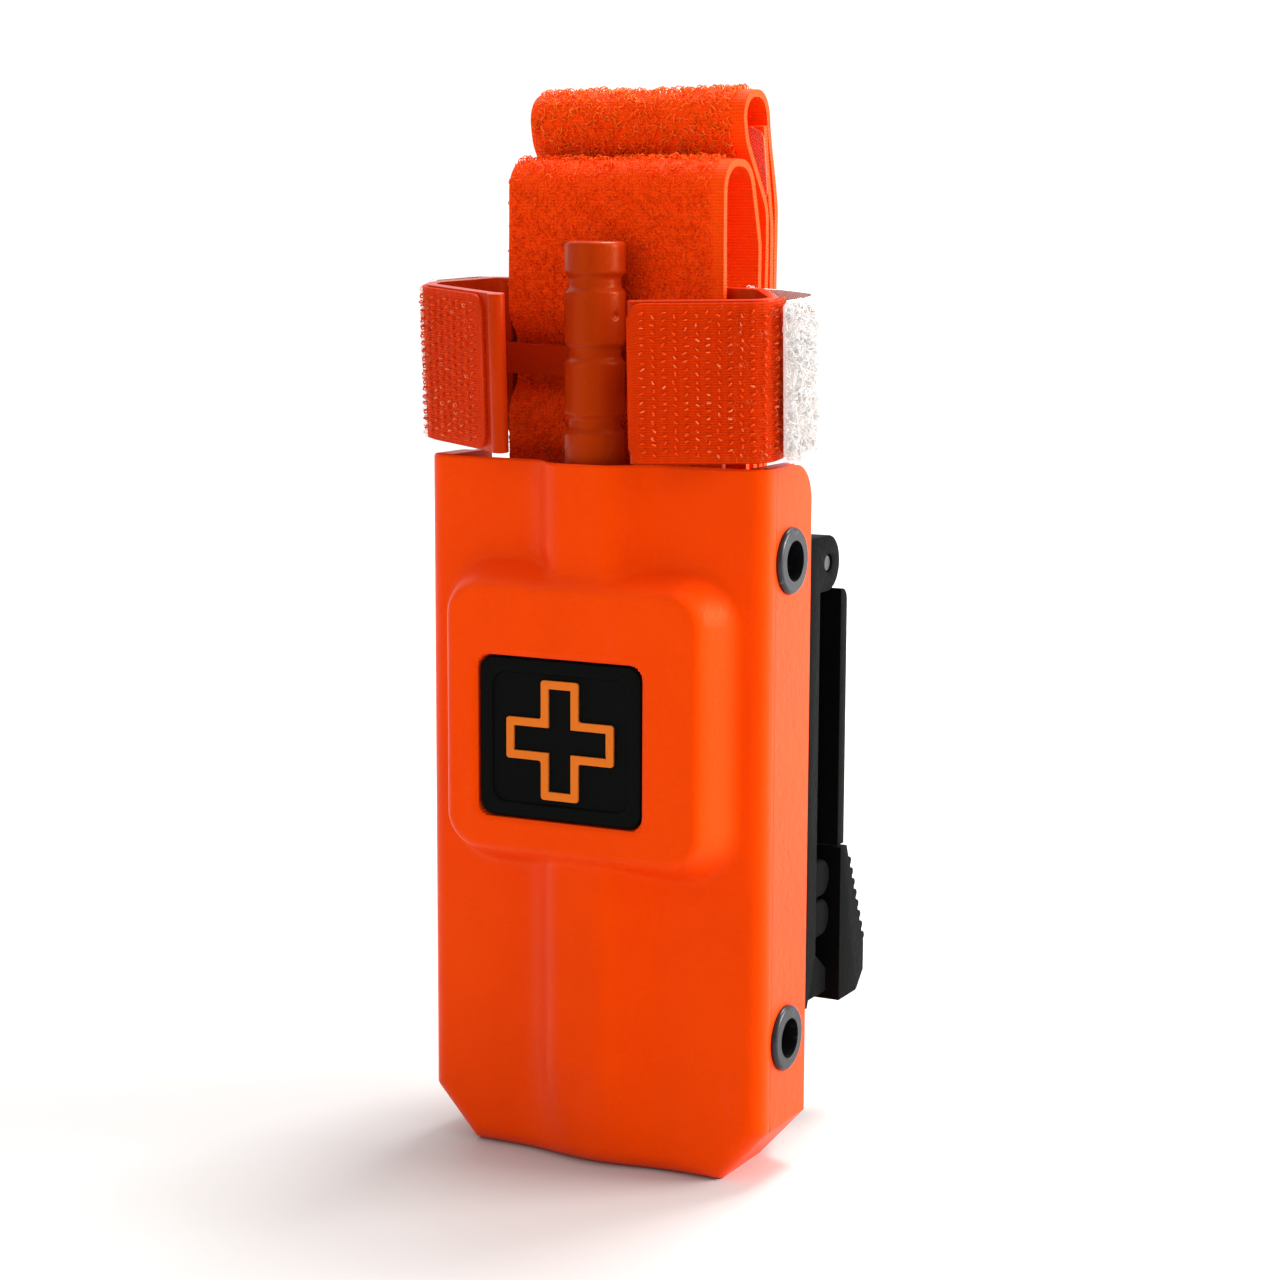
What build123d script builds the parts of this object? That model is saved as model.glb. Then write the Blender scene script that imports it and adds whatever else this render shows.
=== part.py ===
from build123d import *
import math
import os

# Tourniquet in a rigid two-shell belt case, millimetres, +Z up.
# The origin is the centre of the case's flat bottom, +Y points to the belt clip.
# Depths called "..._y" are counted from the flat front of the case, backwards.

# ---- case -------------------------------------------------------------------
case_w = 60.0            # across the two riveted side walls
case_d = 16.5            # depth of a side wall
case_h = 113.5           # bottom to rim
wall = 1.8               # moulded wall of both shells
shell_gap = 0.1          # between the two overlapped side walls
corner_r = 3.1           # front upright corners
chamfer_w = 7.7          # cut bottom corners, across
chamfer_h = 8.5          # cut bottom corners, up
seam_y = 3.3             # parting line behind the front face
flange_end_y = 14.0      # how far the inner side wall reaches back
back_corner_r = 6.0      # rounded top rear corner of a side wall

# ---- windlass rod --------------------------------------------------------------
rod_r = 4.765
rod_len = 127.0
rod_x = -0.4
rod_y = 1.3
rod_top_z = case_h + 34.1
rod_chamfer = 0.5
rod_clear = 0.335        # between the rod and the shell in front of it
groove_first = 5.1       # end cap above the first groove
groove_pitch = 10.9
groove_w = 2.4
groove_depth = 0.67
groove_count = 4         # at each end of the rod
slot_len = 28.0
slot_w = 2.4

# ---- band: layers from the front of the case to its rear -------------------------
band_w = 38.1
band_t = 1.6
band_x = -0.4
fold_foot_z = 14.6       # lowest folds inside the case
inner_w = 25.4
inner_t = 1.0
tip_t = 0.4
tip_overhang = 10.0      # of the tab, back from the end of the band
plate_w = 34.0
plate_h = 88.0
plate_t = 0.9
plate_z = 62.0
buckle_rail = 3.0
buckle_h = 30.0
buckle_z = 33.0
buckle_slack = 0.1       # free play in front of the threaded band, twice that behind it
buckle_bar = 3.0
buckle_thin = 0.9        # upper bar, in front of the band
buckle_rear = 0.5        # middle bar, behind the band
buckle_mid_h = 12.0      # middle bar above the buckle's foot
buckle_corner_r = 1.4
layer_gap = 0.6
loose_gap = 1.0
front_leg_y = rod_y + rod_r + 1.135 + band_t / 2
plate_y = front_leg_y + band_t / 2 + 0.2
buckle_y = plate_y + plate_t + 0.3
buckle_t = buckle_thin + buckle_rear + band_t + 3 * buckle_slack
buckled_y = buckle_y + buckle_thin + buckle_slack + band_t / 2
return_y = buckled_y + band_t + loose_gap
second_y = return_y + band_t + loose_gap
third_y = second_y + band_t + 0.8
tail_y = third_y + band_t + layer_gap
fourth_y = tail_y + band_t + layer_gap

# ---- belt clip fasteners -------------------------------------------------------
screw_x = 13.0
screw_low_z = 56.0
screw_high_z = case_h - 33.5
screw_r = 2.0
screw_head_r = 3.8
screw_head_t = 1.3
screw_clear = 0.1
nut_r = 4.2
nut_head_t = 0.8

# ---- raised rear panel of the back shell -----------------------------------------
bulge_y = fourth_y + band_t / 2 + 0.6 + nut_head_t + wall
bulge_half_w = case_w / 2 - 7.2
bulge_slope = 2.7        # how much wider the raised panel is at its foot
bulge_bottom = 4.0
bulge_rise = 7.0         # its underside climbs this much towards the rear
bulge_top = case_h - back_corner_r
bulge_edge_r = 2.0

# ---- raised pad, rod channel and pocket of the front shell ---------------------
boss_x = 0.3
boss_z = case_h - 40.3
boss_half_w = case_w / 2 - 7.8
boss_half_h = 21.3
boss_out = 8.5           # how far the pad stands forward
boss_slope = 3.6         # its sloping sides
boss_r = 5.5
boss_edge_r = 2.2
channel_x = 0.3
channel_half_w = rod_r + 0.435
channel_slope = 5.3
channel_out = rod_r - rod_y + rod_clear + wall
channel_edge_r = 2.0
channel_foot_out = 2.2   # channel depth at the very bottom
channel_foot_h = 17.0
pocket_floor = 1.6       # wall left behind the pocket
pocket_depth = boss_out - (rod_r - rod_y + rod_clear + pocket_floor)
pocket_gap = 0.3         # around the patch
pocket_r = 2.4

# ---- patch ---------------------------------------------------------------------
patch_x = -1.7
patch_z = boss_z - 3.0
patch_w = 28.6
patch_h = 25.4
patch_r = 2.4
patch_t = 1.7            # rubber base
patch_border = 2.3
patch_recess = 0.5
patch_edge_r = 0.4
cross_span = 19.0
cross_arm = 6.6
cross_line = 1.3
cross_corner_r = 0.5
cross_t = 0.5
tape_t = 0.45            # each half of the touch tape under the patch
tape_inset = 1.5

# ---- eyelets -------------------------------------------------------------------
eyelet_bore_r = 3.2
eyelet_shank_r = 3.7
eyelet_flange_r = 5.25
eyelet_flange_t = 0.9
eyelet_roll_t = 0.7
eyelet_clear = 0.05
eyelet_low_z = 22.6
eyelet_high_z = case_h - 14.7
eyelet_y = 8.6
washer_r = 5.6
washer_t = 0.5
buckle_half_w = case_w / 2 - 2 * wall - shell_gap - washer_t - eyelet_roll_t - 2.1

# ---- windlass clip -------------------------------------------------------------
clip_h = 24.8
clip_t = 1.7
clip_z = case_h + 14.1   # its middle
clip_lean = 5.4          # degrees, top towards the front
clip_roll = 1.5          # degrees, right side lower
clip_arm_left = 20.0     # bend to free edge
clip_arm_right = 21.7
clip_arm_dx = 20.3       # heading of the arms, across and forward
clip_arm_dy = 8.8
clip_bend_x = 31.2
clip_bend_y = 0.6
clip_back_x = 23.5
bar_h = 4.8
bar_t = 1.8
bar_y = rod_y + rod_r + 1.535 + bar_t / 2
clip_back_y = bar_y + 3.0
clip_bend_r = 3.2
clip_rear_r = 2.5
clip_lip_r = 1.35
window_half_w = 20.6
post_w = 2.4
rail_h = 2.2
hook_t = 1.1
hook_start_left = 1.9    # bare plastic beside the free edge
hook_start_right = -1.0  # the right tape covers the edge
hook_wrap = 3.2          # how far the tape turns round the bend
hook_margin = 0.3
bond_gap = 0.05
strap_t = 1.1
strap_w = 24.4
strap_gap = 0.5

# ---- band above the rim ----------------------------------------------------------
tuck_y = bar_y + bar_t / 2 + 0.5 + band_t / 2
second_top_y = second_y + 3.8
third_top_y = second_top_y + band_t + 0.6
tail_top_y = third_top_y + band_t + 0.3
fourth_top_y = tail_top_y + band_t + 0.3

# ---- belt clip -----------------------------------------------------------------
mount_half_w = case_w / 2 - 5.0
mount_t = 4.0
mount_top_z = case_h - 14.5
mount_foot_z = 21.5
mount_taper_h = 9.0
mount_tip_t = 0.8
mount_y = bulge_y + mount_t
pin_y = mount_y + 3.1
pin_z = mount_top_z - 3.7
pin_r = 1.5
pin_hole_clear = 0.02
pin_inset = 0.3
leaf_hole_clear = 0.05
lug_r = 4.6
lug_t = 4.4
knuckle_r = 4.3
knuckle_gap = 0.5
side_gap = 0.3
leaf_y = pin_y + lug_r + 0.9
leaf_t = 2.6
leaf_foot_z = 20.0
leaf_body_z = 45.0       # top of its thick lower end
leaf_body_t = 6.4
leaf_body_half_w = mount_half_w - 8.4
leaf_lip_y = mount_y + 3.0
leaf_lip_h = 1.4
catch_half_w = mount_half_w - 1.0    # block that the leaf closes on
catch_y = leaf_y - 2.0
catch_low_z = 22.0
catch_high_z = 31.0
spacer_h = 6.2
spacer_out = 7.4
spacer_half_w = mount_half_w - 0.8
spacer_zs = (42.0, 35.2)
wing_in_x = leaf_body_half_w + 2.6
wing_out_x = mount_half_w + 0.6
wing_travel = 2.0
wing_out_y = leaf_y + 10.6
wing_top_z = 46.5
wing_corner_r = 1.2
ridge_count = 9
ridge_r = 0.75
peg_h = 5.0
peg_t = 3.0
peg_len = 5.0
peg_clear = 0.2

BIG = 60.0
origin_y = case_d / 2


def yz_prism(points, x0, x1):
    face = Plane.YZ.offset(x0) * Polygon(*points, align=None)
    return extrude(face, amount=x1 - x0, dir=(1, 0, 0))


def xy_prism(points, z0, z1):
    face = Plane.XY.offset(z0) * Polygon(*points, align=None)
    return extrude(face, amount=z1 - z0, dir=(0, 0, 1))


def xz_prism(points, y0, y1):
    face = Plane.XZ.offset(-y1) * Polygon(*points, align=None)
    return extrude(face, amount=y1 - y0, dir=(0, -1, 0))


def block(x0, x1, y0, y1, z0, z1):
    return Pos((x0 + x1) / 2, (y0 + y1) / 2, (z0 + z1) / 2) * Box(x1 - x0, y1 - y0, z1 - z0)


def rod_x_axis(x0, x1, y, z, radius):
    return Pos((x0 + x1) / 2, y, z) * Rot(0, 90, 0) * Cylinder(radius, x1 - x0)


def rod_y_axis(y0, y1, x, z, radius):
    return Pos(x, (y0 + y1) / 2, z) * Rot(90, 0, 0) * Cylinder(radius, y1 - y0)


def export(name, shape):
    export_step(Pos(0, -origin_y, 0) * shape, os.path.join("parts", name + ".step"))


def outline(inset, top):
    """Front view of the case, drawn in by inset: straight sides and cut bottom corners."""
    slant = math.hypot(chamfer_w, chamfer_h)
    x_side = case_w / 2 - inset
    z_side = chamfer_h + inset * (slant - chamfer_h) / chamfer_w
    x_foot = case_w / 2 - chamfer_w + inset * (chamfer_w - slant) / chamfer_h
    return [(-x_side, top), (-x_side, z_side), (-x_foot, inset),
            (x_foot, inset), (x_side, z_side), (x_side, top)]


def front_edges(solid, y):
    """Edges of the flat front at depth y, without the ones on the rim."""
    flat = [e for e in solid.edges() if abs(e.center().Y - y) < 0.01 and e.length > 1.0]
    return [e for e in flat if e.center().Z < case_h - 1.0]


def pad(out, half_w, half_h, slope, foot_y, radius):
    """A raised pad with sloping sides, standing forward of the front face."""
    rise = out + foot_y
    foot_w = half_w + slope * rise / out
    foot_h = half_h + slope * rise / out
    at = Plane.XZ * Pos(boss_x, boss_z)
    foot = at * Pos(0, 0, -foot_y) * RectangleRounded(2 * foot_w, 2 * foot_h, radius)
    face = at * Pos(0, 0, out) * RectangleRounded(2 * half_w, 2 * half_h, radius)
    return loft([foot, face])


def boss_outer():
    solid = pad(boss_out, boss_half_w, boss_half_h, boss_slope, wall / 2, boss_r)
    rim = [e for e in solid.edges() if abs(e.center().Y + boss_out) < 0.3]
    return fillet(rim, boss_edge_r)


def boss_inner():
    solid = pad(boss_out - wall, boss_half_w - wall / 2, boss_half_h - wall / 2,
                boss_slope, wall + 0.1, boss_r - wall / 2)
    return solid - pocket(wall, pocket_depth + pocket_floor)


def pocket(grow, depth):
    """The patch pocket, or the block of wall around it."""
    w = patch_w + 2 * (pocket_gap + grow)
    h = patch_h + 2 * (pocket_gap + grow)
    face = Plane.XZ * Pos(patch_x, patch_z, boss_out - depth) * RectangleRounded(w, h, pocket_r)
    return extrude(face, amount=depth + 1.0)


def channel_section(out, flat, slope, foot_y):
    x0 = channel_x
    wide = flat + slope * (out + foot_y) / out
    return [(x0 - wide, foot_y), (x0 - flat, -out), (x0 + flat, -out), (x0 + wide, foot_y)]


def channel_outer():
    """The upright ridge that makes room for the rod, shallower at its foot."""
    solid = xy_prism(channel_section(channel_out, channel_half_w, channel_slope, wall / 2), 0, case_h)
    nose = [e for e in solid.edges().filter_by(Axis.Z) if e.center().Y < -1]
    solid = fillet(nose, channel_edge_r)
    ahead = channel_out + 2.0
    cut = [(-ahead, -1), (-channel_foot_out, -1), (-channel_foot_out, 0),
           (-channel_out, channel_foot_h), (-ahead, channel_foot_h)]
    return solid - yz_prism(cut, -BIG, BIG)


def channel_inner():
    return xy_prism(channel_section(channel_out - wall, channel_half_w + 0.1, channel_slope, wall + 0.1),
                    channel_foot_h + wall, case_h + 1)


def eyelet_places():
    return [(side, z) for side in (-1, 1) for z in (eyelet_low_z, eyelet_high_z)]


def eyelet_holes():
    reach = case_w / 2
    holes = [rod_x_axis(side * reach - 8, side * reach + 8, eyelet_y, z, eyelet_shank_r + eyelet_clear)
             for side, z in eyelet_places()]
    return Part() + holes


def front_shell():
    lap = wall + shell_gap
    face = xz_prism(outline(0, case_h), 0, seam_y)
    face = fillet(front_edges(face, 0), corner_r)
    sides = xz_prism(outline(lap, case_h), seam_y - 0.5, flange_end_y)
    solid = face + sides + channel_outer() + boss_outer()
    solid -= xz_prism(outline(lap + wall, case_h + 1), wall, flange_end_y + 1)
    solid -= channel_inner()
    solid -= boss_inner()
    solid -= pocket(0, pocket_depth)
    return solid - eyelet_holes()


def bulge(inset, y0, y1, z0, z1):
    foot_w = bulge_half_w + bulge_slope - inset
    section = [(-foot_w, y0), (-bulge_half_w + inset, y1), (bulge_half_w - inset, y1), (foot_w, y0)]
    return xy_prism(section, z0, z1)


def back_shell():
    start = seam_y + shell_gap
    walls = xz_prism(outline(0, case_h), start, case_d)
    top_rear = [e for e in walls.edges().filter_by(Axis.X)
                if abs(e.center().Y - case_d) < 0.01 and e.center().Z > case_h - 1]
    walls = fillet(top_rear, back_corner_r)
    panel = bulge(0, case_d - 1, bulge_y, bulge_bottom, bulge_top)
    slope = [(case_d, bulge_bottom - 1), (bulge_y + 1, bulge_bottom - 1),
             (bulge_y + 1, bulge_bottom + bulge_rise), (bulge_y, bulge_bottom + bulge_rise),
             (case_d, bulge_bottom)]
    panel -= yz_prism(slope, -BIG, BIG)
    upright = [e for e in panel.edges().filter_by(Axis.Z) if e.center().Y > bulge_y - 1]
    panel = fillet(upright, bulge_edge_r)
    solid = walls + panel
    solid -= xz_prism(outline(wall, case_h + 1), start - 1, case_d - wall)
    solid -= bulge(wall, case_d - wall - 0.1, bulge_y - wall,
                   bulge_bottom + bulge_rise + wall, case_h + 1)
    solid -= eyelet_holes()
    return solid - screw_holes()


def eyelets():
    """Four rolled metal eyelets that rivet the two shells."""
    parts = []
    for side, z in eyelet_places():
        outer = case_w / 2
        inner = outer - 2 * wall - shell_gap - washer_t
        body = rod_x_axis(inner - eyelet_roll_t, outer + eyelet_flange_t, 0, 0, eyelet_shank_r)
        head = rod_x_axis(outer, outer + eyelet_flange_t, 0, 0, eyelet_flange_r)
        rim = [e for e in head.edges() if e.center().X > outer + 0.1 and e.length > 1]
        head = fillet(rim, eyelet_flange_t * 0.7)
        roll = rod_x_axis(inner - eyelet_roll_t, inner, 0, 0, eyelet_flange_r - 0.4)
        ring = body + head + roll - rod_x_axis(inner - 2, outer + 2, 0, 0, eyelet_bore_r)
        if side < 0:
            ring = mirror(ring, Plane.YZ)
        parts.append(Pos(0, eyelet_y, z) * ring)
    return Part() + parts


def eyelet_washers():
    parts = []
    for side, z in eyelet_places():
        outer = case_w / 2 - 2 * wall - shell_gap
        ring = rod_x_axis(outer - washer_t, outer, 0, 0, washer_r)
        ring -= rod_x_axis(outer - 2, outer + 2, 0, 0, eyelet_shank_r + eyelet_clear)
        if side < 0:
            ring = mirror(ring, Plane.YZ)
        parts.append(Pos(0, eyelet_y, z) * ring)
    return Part() + parts


def patch_plate(w, h, y0, y1, radius):
    face = Plane.XZ * Pos(patch_x, patch_z, -y1) * RectangleRounded(w, h, radius)
    return extrude(face, amount=y1 - y0)


def patch_faces():
    """Depths from the pocket floor forward: pad, pad, rubber base, recessed panel."""
    floor = -(boss_out - pocket_depth)
    return floor, floor - tape_t, floor - 2 * tape_t, floor - 2 * tape_t - patch_t


def patch_loop_pad():
    floor, first, _, _ = patch_faces()
    return patch_plate(patch_w - 2 * tape_inset, patch_h - 2 * tape_inset, first, floor, patch_r)


def patch_hook_pad():
    _, first, second, _ = patch_faces()
    return patch_plate(patch_w - 2 * tape_inset, patch_h - 2 * tape_inset, second, first, patch_r)


def patch_base():
    _, _, back, face = patch_faces()
    solid = patch_plate(patch_w, patch_h, face, back, patch_r)
    rim = [e for e in solid.edges() if abs(e.center().Y - face) < 0.01]
    solid = fillet(rim, patch_edge_r)
    inner_w_mm = patch_w - 2 * patch_border
    inner_h_mm = patch_h - 2 * patch_border
    return solid - patch_plate(inner_w_mm, inner_h_mm, face - 1, face + patch_recess, patch_r)


def plus(span, arm):
    return Rectangle(span, arm) + Rectangle(arm, span)


def patch_cross():
    """A plain first-aid plus, drawn as an outline with softened corners."""
    _, _, _, face = patch_faces()
    outer = plus(cross_span, cross_arm)
    outer = fillet(outer.vertices(), cross_corner_r)
    inner = plus(cross_span - 2 * cross_line, cross_arm - 2 * cross_line)
    ring = outer - inner
    at = Plane.XZ * Pos(patch_x, patch_z, -(face + patch_recess))
    return extrude(at * ring, amount=cross_t)


def windlass_rod():
    """Round rod with finger grooves at both ends and a slot for the inner band."""
    centre = rod_top_z - rod_len / 2
    solid = Pos(rod_x, rod_y, centre) * Cylinder(rod_r, rod_len)
    solid = chamfer(solid.edges().filter_by(GeomType.CIRCLE), rod_chamfer)
    for i in range(groove_count):
        depth = groove_first + groove_w / 2 + i * groove_pitch
        for z in (rod_top_z - depth, rod_top_z - rod_len + depth):
            ring = Cylinder(rod_r + 1, groove_w) - Cylinder(rod_r - groove_depth, groove_w)
            solid -= Pos(rod_x, rod_y, z) * ring
    slot = Pos(rod_x, rod_y, centre) * Box(4 * rod_r, slot_w, slot_len - slot_w)
    ends = [Pos(0, 0, side * (slot_len - slot_w) / 2) * rod_x_axis(
        rod_x - 2 * rod_r, rod_x + 2 * rod_r, rod_y, centre, slot_w / 2) for side in (-1, 1)]
    return solid - slot - ends


def ribbon(points, radii, width, thick, across):
    """A strip of even thickness that follows straight runs joined by tangent arcs."""
    path = FilletPolyline(*points, radius=radii)
    start = Plane(origin=path @ 0, x_dir=across, z_dir=path % 0)
    return sweep(start * Rectangle(width, thick), path=path)


def band_path():
    """The folded band in side view: (depth, height, bend radius) of each corner."""
    foot = fold_foot_z
    lean_z = case_h + 4.5
    upright_z = case_h + 24.5
    tight = 0.49
    turn = 9.0
    return [
        (buckled_y, buckle_z - 3.0, 0), (buckled_y, case_h - 7.5, tight * (return_y - buckled_y)),
        (return_y, case_h - 7.5, tight * (return_y - buckled_y)), (return_y, foot - 1.2, 3.2),
        (front_leg_y, foot - 1.2, 3.2), (front_leg_y, clip_z - 6.8, 2.5),
        (tuck_y, clip_z - 2.6, 2.5), (tuck_y, clip_z + 4.6, 2.5), (front_leg_y, clip_z + 8.8, 2.5),
        (front_leg_y, case_h + 46.5, 4.6), (second_top_y - 3.6, case_h + 46.5, 4.6),
        (second_top_y, case_h + 33.5, turn), (second_top_y, upright_z, turn), (second_y, lean_z, turn),
        (second_y, foot, tight * (third_y - second_y)), (third_y, foot, tight * (third_y - second_y)),
        (third_y, lean_z, turn), (third_top_y, upright_z, turn), (third_top_y, case_h + 39.0, 8),
        (third_top_y - 5.8, case_h + 49.5, 5), (third_top_y - 6.8, case_h + 56.3, 3.7),
        (fourth_top_y - 1.8, case_h + 56.3, 3.7), (fourth_top_y, case_h + 38.5, turn),
        (fourth_top_y, upright_z, turn), (fourth_y, lean_z, turn),
        (fourth_y, foot, tight * (fourth_y - tail_y)), (tail_y, foot, tight * (fourth_y - tail_y)),
        (tail_y, lean_z, turn), (tail_top_y, upright_z, turn), (tail_top_y, case_h + 36.5, turn),
        (tail_top_y - 2.8, case_h + 52.0, 0),
    ]


def outer_band():
    corners = band_path()
    points = [(band_x, y, z) for y, z, _ in corners]
    radii = [r for _, _, r in corners[1:-1]]
    path = FilletPolyline(*points, radius=radii)
    print("outer band length", round(path.length, 1))
    return ribbon(points, radii, band_w, band_t, (1, 0, 0))


def band_tip():
    """Coloured end tab, lapped round the last stretch of the band on its front side."""
    (y0, z0, _), (y1, z1, _) = band_path()[-2:]
    run = math.hypot(y1 - y0, z1 - z0)
    ahead = (band_t + tip_t) / 2 + bond_gap
    ny, nz = -(z1 - z0) / run, (y1 - y0) / run
    ends = []
    for back in (tip_overhang, 0.0):
        k = 1 - back / run
        ends.append((band_x, y0 + (y1 - y0) * k + ny * ahead, z0 + (z1 - z0) * k + nz * ahead))
    line = Line(*ends)
    start = Plane(origin=line @ 0, x_dir=(1, 0, 0), z_dir=line % 0)
    return sweep(start * Rectangle(band_w, tip_t), path=line)


def base_plate():
    """Stiff plate that keeps the band flat under the rod."""
    face = Plane.XZ * Pos(band_x, plate_z, -(plate_y + plate_t)) * RectangleRounded(plate_w, plate_h, 6)
    return extrude(face, amount=plate_t)


def inner_band():
    """The inner band where it passes through the rod's slot."""
    z = rod_top_z - rod_len / 2
    end_y = front_leg_y - band_t / 2 - inner_t
    bend = rod_r + 2.835
    end = rod_r + 6.235
    points = [(rod_x - end, end_y, z), (rod_x - bend, rod_y, z),
              (rod_x + bend, rod_y, z), (rod_x + end, end_y, z)]
    return ribbon(points, [2.0, 2.0], inner_w, inner_t, (0, 0, 1))


def buckle():
    """Slide buckle: two side rails and three bars, the band threads between them."""
    y0, y1 = buckle_y, buckle_y + buckle_t
    z0, z1 = buckle_z - buckle_h / 2, buckle_z + buckle_h / 2
    inner = buckle_half_w - buckle_rail
    z_mid = z0 + buckle_mid_h
    x0 = band_x
    solid = block(x0 - buckle_half_w, x0 - inner, y0, y1, z0, z1)
    solid += block(x0 + inner, x0 + buckle_half_w, y0, y1, z0, z1)
    upright = [e for e in solid.edges().filter_by(Axis.Y) if abs(e.center().X - x0) > inner + 1]
    solid = fillet(upright, buckle_corner_r)
    solid += block(x0 - inner - 0.5, x0 + inner + 0.5, y0, y1, z0, z0 + buckle_bar)
    solid += block(x0 - inner - 0.5, x0 + inner + 0.5, y0, y0 + buckle_thin, z1 - buckle_bar, z1)
    solid += block(x0 - inner - 0.5, x0 + inner + 0.5, y1 - buckle_rear, y1, z_mid, z_mid + buckle_bar)
    return solid


def lean(shape):
    """Local frame of the windlass clip: its middle, leaned and rolled a little."""
    return Pos(0, 0, clip_z) * Rot(clip_lean, clip_roll, 0) * shape


def shift_line(points, d):
    """The same bent line, moved sideways by d (to the left of its direction)."""
    moved = []
    count = len(points)
    for i in range(count):
        normals = []
        for a, b in ((i - 1, i), (i, i + 1)):
            if a < 0 or b >= count:
                continue
            dx, dy = points[b][0] - points[a][0], points[b][1] - points[a][1]
            run = math.hypot(dx, dy)
            normals.append((-dy / run, dx / run))
        nx = sum(n[0] for n in normals)
        ny = sum(n[1] for n in normals)
        k = d * len(normals) / (nx * nx + ny * ny) if len(normals) == 2 else d
        scale = k if len(normals) == 2 else d
        moved.append((points[i][0] + nx * scale, points[i][1] + ny * scale))
    return moved


def arm_line(side):
    """Plan of one arm from its free edge round the bend to the back corner."""
    reach = clip_arm_right if side > 0 else clip_arm_left
    k = reach / math.hypot(clip_arm_dx, clip_arm_dy)
    edge_x = clip_bend_x - clip_arm_dx * k
    edge_y = clip_bend_y - clip_arm_dy * k
    return [(side * edge_x, edge_y), (side * clip_bend_x, clip_bend_y),
            (side * clip_back_x, clip_back_y)]


def windlass_clip():
    right, left = arm_line(1), arm_line(-1)
    points = [(x, y, 0) for x, y in right + left[::-1]]
    shell = ribbon(points, [clip_bend_r, clip_rear_r, clip_rear_r, clip_bend_r], clip_h, clip_t, (0, 0, 1))
    inside = clip_h / 2 - rail_h
    shell -= block(-window_half_w, window_half_w, clip_back_y - 2, clip_back_y + 2, -inside, inside)
    for side in (-1, 1):
        edge_x, edge_y = arm_line(side)[0]
        shell += Pos(edge_x, edge_y, 0) * Cylinder(clip_lip_r if side < 0 else clip_t / 2, clip_h)
        post_x = side * (window_half_w + post_w / 2)
        shell += block(post_x - post_w / 2, post_x + post_w / 2,
                       bar_y - bar_t / 2, clip_back_y, -bar_h / 2, bar_h / 2)
    shell += block(-window_half_w - 0.5, window_half_w + 0.5, bar_y - bar_t / 2, bar_y + bar_t / 2,
                   -bar_h / 2, bar_h / 2)
    return lean(shell)


def hook_patch(side):
    """Touch tape on the outside of one arm, turned a little way round the bend."""
    line = arm_line(side)
    away = -side * ((clip_t + hook_t) / 2 + bond_gap)
    outer = shift_line(line, away)
    (x0, y0), (x1, y1), (x2, y2) = outer
    run = math.hypot(x1 - x0, y1 - y0)
    k = (hook_start_right if side > 0 else hook_start_left) / run
    start = (x0 + (x1 - x0) * k, y0 + (y1 - y0) * k)
    side_run = math.hypot(x2 - x1, y2 - y1)
    m = (hook_wrap + clip_bend_r) / side_run
    end = (x1 + (x2 - x1) * m, y1 + (y2 - y1) * m)
    radius = clip_bend_r + abs(away)
    points = [(start[0], start[1], 0), (x1, y1, 0), (end[0], end[1], 0)]
    return lean(ribbon(points, [radius], clip_h - 2 * hook_margin, hook_t, (0, 0, 1)))


def time_strap():
    """Pale write-on strap, parked round the back of the clip."""
    back = clip_back_y + clip_t / 2 + strap_t / 2 + strap_gap
    bend = clip_bend_x
    points = [(-bend - 1.4, 6.2, 0), (-bend + 3.2, back, 0), (bend - 4.7, back, 0), (bend + 2.0, 10.4, 0),
              (bend + 3.8, 6.0, 0), (bend + 3.5, 1.6, 0)]
    return lean(ribbon(points, [2.5, 6, 3.5, 3], strap_w, strap_t, (0, 0, 1)))


def screw_places():
    return [(side * screw_x, z) for side in (-1, 1) for z in (screw_low_z, screw_high_z)]


def screw_holes():
    holes = [rod_y_axis(bulge_y - 6, bulge_y + 12, x, z, screw_r + screw_clear)
             for x, z in screw_places()]
    return Part() + holes


def clip_screws():
    parts = []
    head_y = mount_y
    for x, z in screw_places():
        shank = rod_y_axis(bulge_y - wall, head_y + 0.3, x, z, screw_r)
        head = rod_y_axis(head_y, head_y + screw_head_t, x, z, screw_head_r)
        rim = [e for e in head.edges() if e.center().Y > head_y + screw_head_t - 0.1 and e.length > 1]
        head = fillet(rim, 0.7)
        drive = Pos(x, head_y + screw_head_t, z) * Box(1.2, 1.4, 5.0)
        drive += Pos(x, head_y + screw_head_t, z) * Box(5.0, 1.4, 1.2)
        parts.append(shank + head - drive)
    return Part() + parts


def clip_nuts():
    """Flat round nuts inside the back shell."""
    y1 = bulge_y - wall
    parts = []
    for x, z in screw_places():
        parts.append(rod_y_axis(y1 - nut_head_t, y1, x, z, nut_r))
    return Part() + parts


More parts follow.
